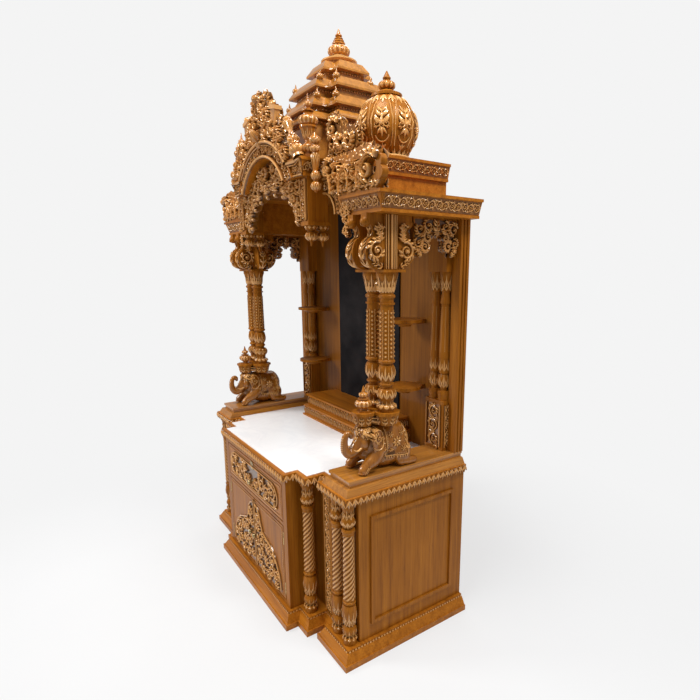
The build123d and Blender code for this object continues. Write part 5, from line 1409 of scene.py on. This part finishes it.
def carve_elephants():
    """Elephants with saddle cloth, head ornament, tusks, eyes, toes, anklets and trunk rings."""
    mesh = elephant_body()
    points = np.array([tuple(vertex.co) for vertex in mesh.vertices])
    faces = [tuple(polygon.vertices) for polygon in mesh.polygons]
    # Closed creases get low relief, so the carved teak paints shade with the stain into them.
    relief = 0.12 + 0.5 * openness(mesh, tree_of(points, faces)) ** 1.2
    points += np.array([ELEPHANT_X, ELEPHANT_Y, ELEPHANT_Z]) * MM
    tree = tree_of(points, faces)
    body = Carving()
    body.add(points, [f if len(f) == 4 else (*f, f[-1]) for f in faces], relief)
    piece = both(body, "elephant_pair")
    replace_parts(piece, "elephants")
    piece = Carving()
    flank = elephant_side()
    for along in (1, -1):
        start = (ELEPHANT_X + 160 * along, ELEPHANT_Y, ELEPHANT_Z)
        piece.merge(turned_to(flank, along), settle(tree, start, (0, along, 0), Z))
    toes = Carving()
    for side in (-1, 1):
        for index in range(4):
            bead(toes, (side * 44 - 11 + index * 7.3, 9), 5, 5)
    rings = Carving()
    for rise in np.arange(84, 148, 8.0):
        stroke(rings, [(u, rise) for u in np.linspace(-8, 8, 5)], 1.8, 2.2)
    for flat, y in ((elephant_front(), ELEPHANT_Y + 62), (toes, ELEPHANT_Y + 48),
                    (rings, FRONT - 60)):
        piece.merge(flat, settle(tree, (ELEPHANT_X, y, ELEPHANT_Z), X, Z))
    for side in (-1, 1):
        tusk(piece, side)
    both(piece, "elephant_carving")


ROOF_LOW = 1786.0
ROOF_TIERS = [(158, 228, 240, 30), (140, 208, 24, 40), (122, 184, 36, 40), (76, 120, 47, 40)]


def carve_roof():
    """Pearls under the eaves of the roof's four cross-shaped tiers."""
    piece = Carving()
    low = ROOF_LOW
    for arm, reach, wall, eave in ROOF_TIERS:
        near, far = arm - EDGE_INSET, reach - EDGE_INSET
        line = [(0, ROOF_MIDDLE - far), (near, ROOF_MIDDLE - far), (near, ROOF_MIDDLE - near),
                (far, ROOF_MIDDLE - near), (far, min(ROOF_MIDDLE + near, BACK))]
        follow(piece, line, low + wall - 7,
               lambda strip, length: bead_row(strip, (0, 0), (length, 0), 13, 5))
        low += wall + eave
    both(piece, "roof_pearls")


for carve in (carve_base, carve_front, carve_cornices, carve_canopy, carve_crest, carve_scrolls,
              carve_valance, carve_brackets, carve_side_valances, carve_columns, carve_platform,
              carve_domes, carve_turned, carve_elephants, carve_roof):
    carve()


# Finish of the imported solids

FINISHES = [(TEAK_X, ["base_top", "wing_cornices", "upper_cornices", "canopy_cornice", "plinth",
                      "deity_platform", "drawer", "wing_risers"]),
            (TEAK_ROOF, ["roof_tier_1", "roof_tier_2", "roof_tier_3", "roof_tier_4"]),
            (TEAK_Y, ["wing_steps"]),
            (TEAK_SHADE, ["back_wall", "ceiling"]),
            (TEAK_DEEP, ["canopy_valance", "wing_crests"]),
            (TEAK_BRIGHT, ["canopy_urns", "crest_horns", "pedestal_kalashes", "crown_finial",
                           "corner_drops"]),
            (MARBLE, ["marble_top"]),
            (CLOTH, ["back_panel"]),
            (BRASS, ["drawer_fittings", "door_fittings_left", "door_fittings_right",
                     "frame_hinges"])]
FINISH_OF = {name: material for material, names in FINISHES for name in names}

for name, piece in nodes.items():
    for place in piece.material_slots:
        place.link = "OBJECT"
        place.material = FINISH_OF.get(name, TEAK_Z)


# Stage, lights and camera

CAMERA_PLACE = (2.0463, -1.0983, 1.440)
CAMERA_YAW = 54.36
CAMERA_PITCH = 12.195
FOCAL_PIXELS = 498.78
CENTRE_PIXEL = (381.86, 377.36)
IMAGE_SIZE = 700
SENSOR = 36.0
BACKDROP = (0.905, 0.905, 0.905, 1)
SKY = (0.97, 0.98, 1.0, 1)
FLOOR_DARK, FLOOR_LIGHT = (0.76, 0.76, 0.76), (0.78, 0.78, 0.78)
FLOOR_HALF = 14


def camera():
    """Camera at the photograph's place, angle and framing."""
    data = bpy.data.cameras.new("camera")
    data.sensor_width = SENSOR
    data.lens = SENSOR * FOCAL_PIXELS / IMAGE_SIZE
    data.shift_x = (IMAGE_SIZE / 2 - CENTRE_PIXEL[0]) / IMAGE_SIZE
    data.shift_y = (CENTRE_PIXEL[1] - IMAGE_SIZE / 2) / IMAGE_SIZE
    data.clip_end = 60
    piece = bpy.data.objects.new("camera", data)
    piece.location = CAMERA_PLACE
    piece.rotation_euler = (math.radians(90 - CAMERA_PITCH), 0, math.radians(CAMERA_YAW))
    bpy.context.scene.collection.objects.link(piece)
    bpy.context.scene.camera = piece


def area_light(name, place, target, size, power):
    """Soft rectangular lamp aimed at a point."""
    data = bpy.data.lights.new(name, "AREA")
    data.shape = "SQUARE"
    data.size = size
    data.energy = power
    piece = bpy.data.objects.new(name, data)
    piece.location = place
    aim = Vector(target) - Vector(place)
    piece.rotation_euler = aim.to_track_quat("-Z", "Y").to_euler()
    bpy.context.scene.collection.objects.link(piece)


def join_shaders(tree, output, factor, first, second):
    """Sends a blend of two shaders to the output node."""
    blend = fill(tree, tree.nodes.new("ShaderNodeMixShader"), {"Fac": factor})
    tree.links.new(first, blend.inputs[1])
    tree.links.new(second, blend.inputs[2])
    tree.links.new(blend.outputs["Shader"], tree.nodes[output].inputs["Surface"])


def floor_material():
    """Pale floor that keeps the shadow and fades into the backdrop with distance."""
    material, add, shade = new_material("pale_floor")
    tree = material.node_tree
    place = add("ShaderNodeTexCoord", "Object")
    speck = ramp(add, noise(add, place, 2.0, 2.0), [(0.3, FLOOR_DARK), (0.7, FLOOR_LIGHT)])
    shade(Base_Color=speck, Roughness=0.9, Specular_IOR_Level=0.0)
    distance = add("ShaderNodeVectorMath", "Value", operation="LENGTH", Vector=place)
    fade = add("ShaderNodeMapRange", "Result", interpolation_type="SMOOTHSTEP", From_Min=0.9,
               From_Max=2.2, To_Min=0.62, Value=distance)
    seen = add("ShaderNodeMath", "Value", operation="MULTIPLY")
    tree.links.new(fade, seen.node.inputs[0])
    tree.links.new(add("ShaderNodeLightPath", "Is Camera Ray"), seen.node.inputs[1])
    join_shaders(tree, "Material Output", seen, tree.nodes["Principled BSDF"].outputs["BSDF"],
                 add("ShaderNodeEmission", "Emission", Color=BACKDROP))
    return material


def floor():
    """Square floor with its middle under the temple."""
    half = FLOOR_HALF
    mesh = bpy.data.meshes.new("floor")
    mesh.from_pydata([(-half, -half, 0), (half, -half, 0), (half, half, 0), (-half, half, 0)],
                     [], [(0, 1, 2, 3)])
    mesh.materials.append(floor_material())
    piece = bpy.data.objects.new("floor", mesh)
    bpy.context.scene.collection.objects.link(piece)


def world():
    """World that lights softly and shows the camera a pale backdrop."""
    studio = bpy.data.worlds.new("studio")
    studio.use_nodes = True
    tree = studio.node_tree
    light = fill(tree, tree.nodes["Background"], {"Color": SKY, "Strength": 0.36})
    backdrop = fill(tree, tree.nodes.new("ShaderNodeBackground"), {"Color": BACKDROP})
    rays = tree.nodes.new("ShaderNodeLightPath")
    join_shaders(tree, "World Output", rays.outputs["Is Camera Ray"],
                 light.outputs["Background"], backdrop.outputs["Background"])
    bpy.context.scene.world = studio


camera()
floor()
world()
area_light("key", (-1.9, -3.3, 3.3), (0, -0.2, 1.3), 1.1, 98)
area_light("sky", (-1.8, 1.6, 4.2), (0, 0, 1.9), 2.2, 28)
area_light("side", (2.2, 0.5, 3.8), (0.3, 0, 1.9), 0.8, 70)
area_light("top", (0.7, -1.0, 4.6), (0, -0.1, 1.4), 1.2, 105)
bpy.context.scene.view_settings.view_transform = "Standard"
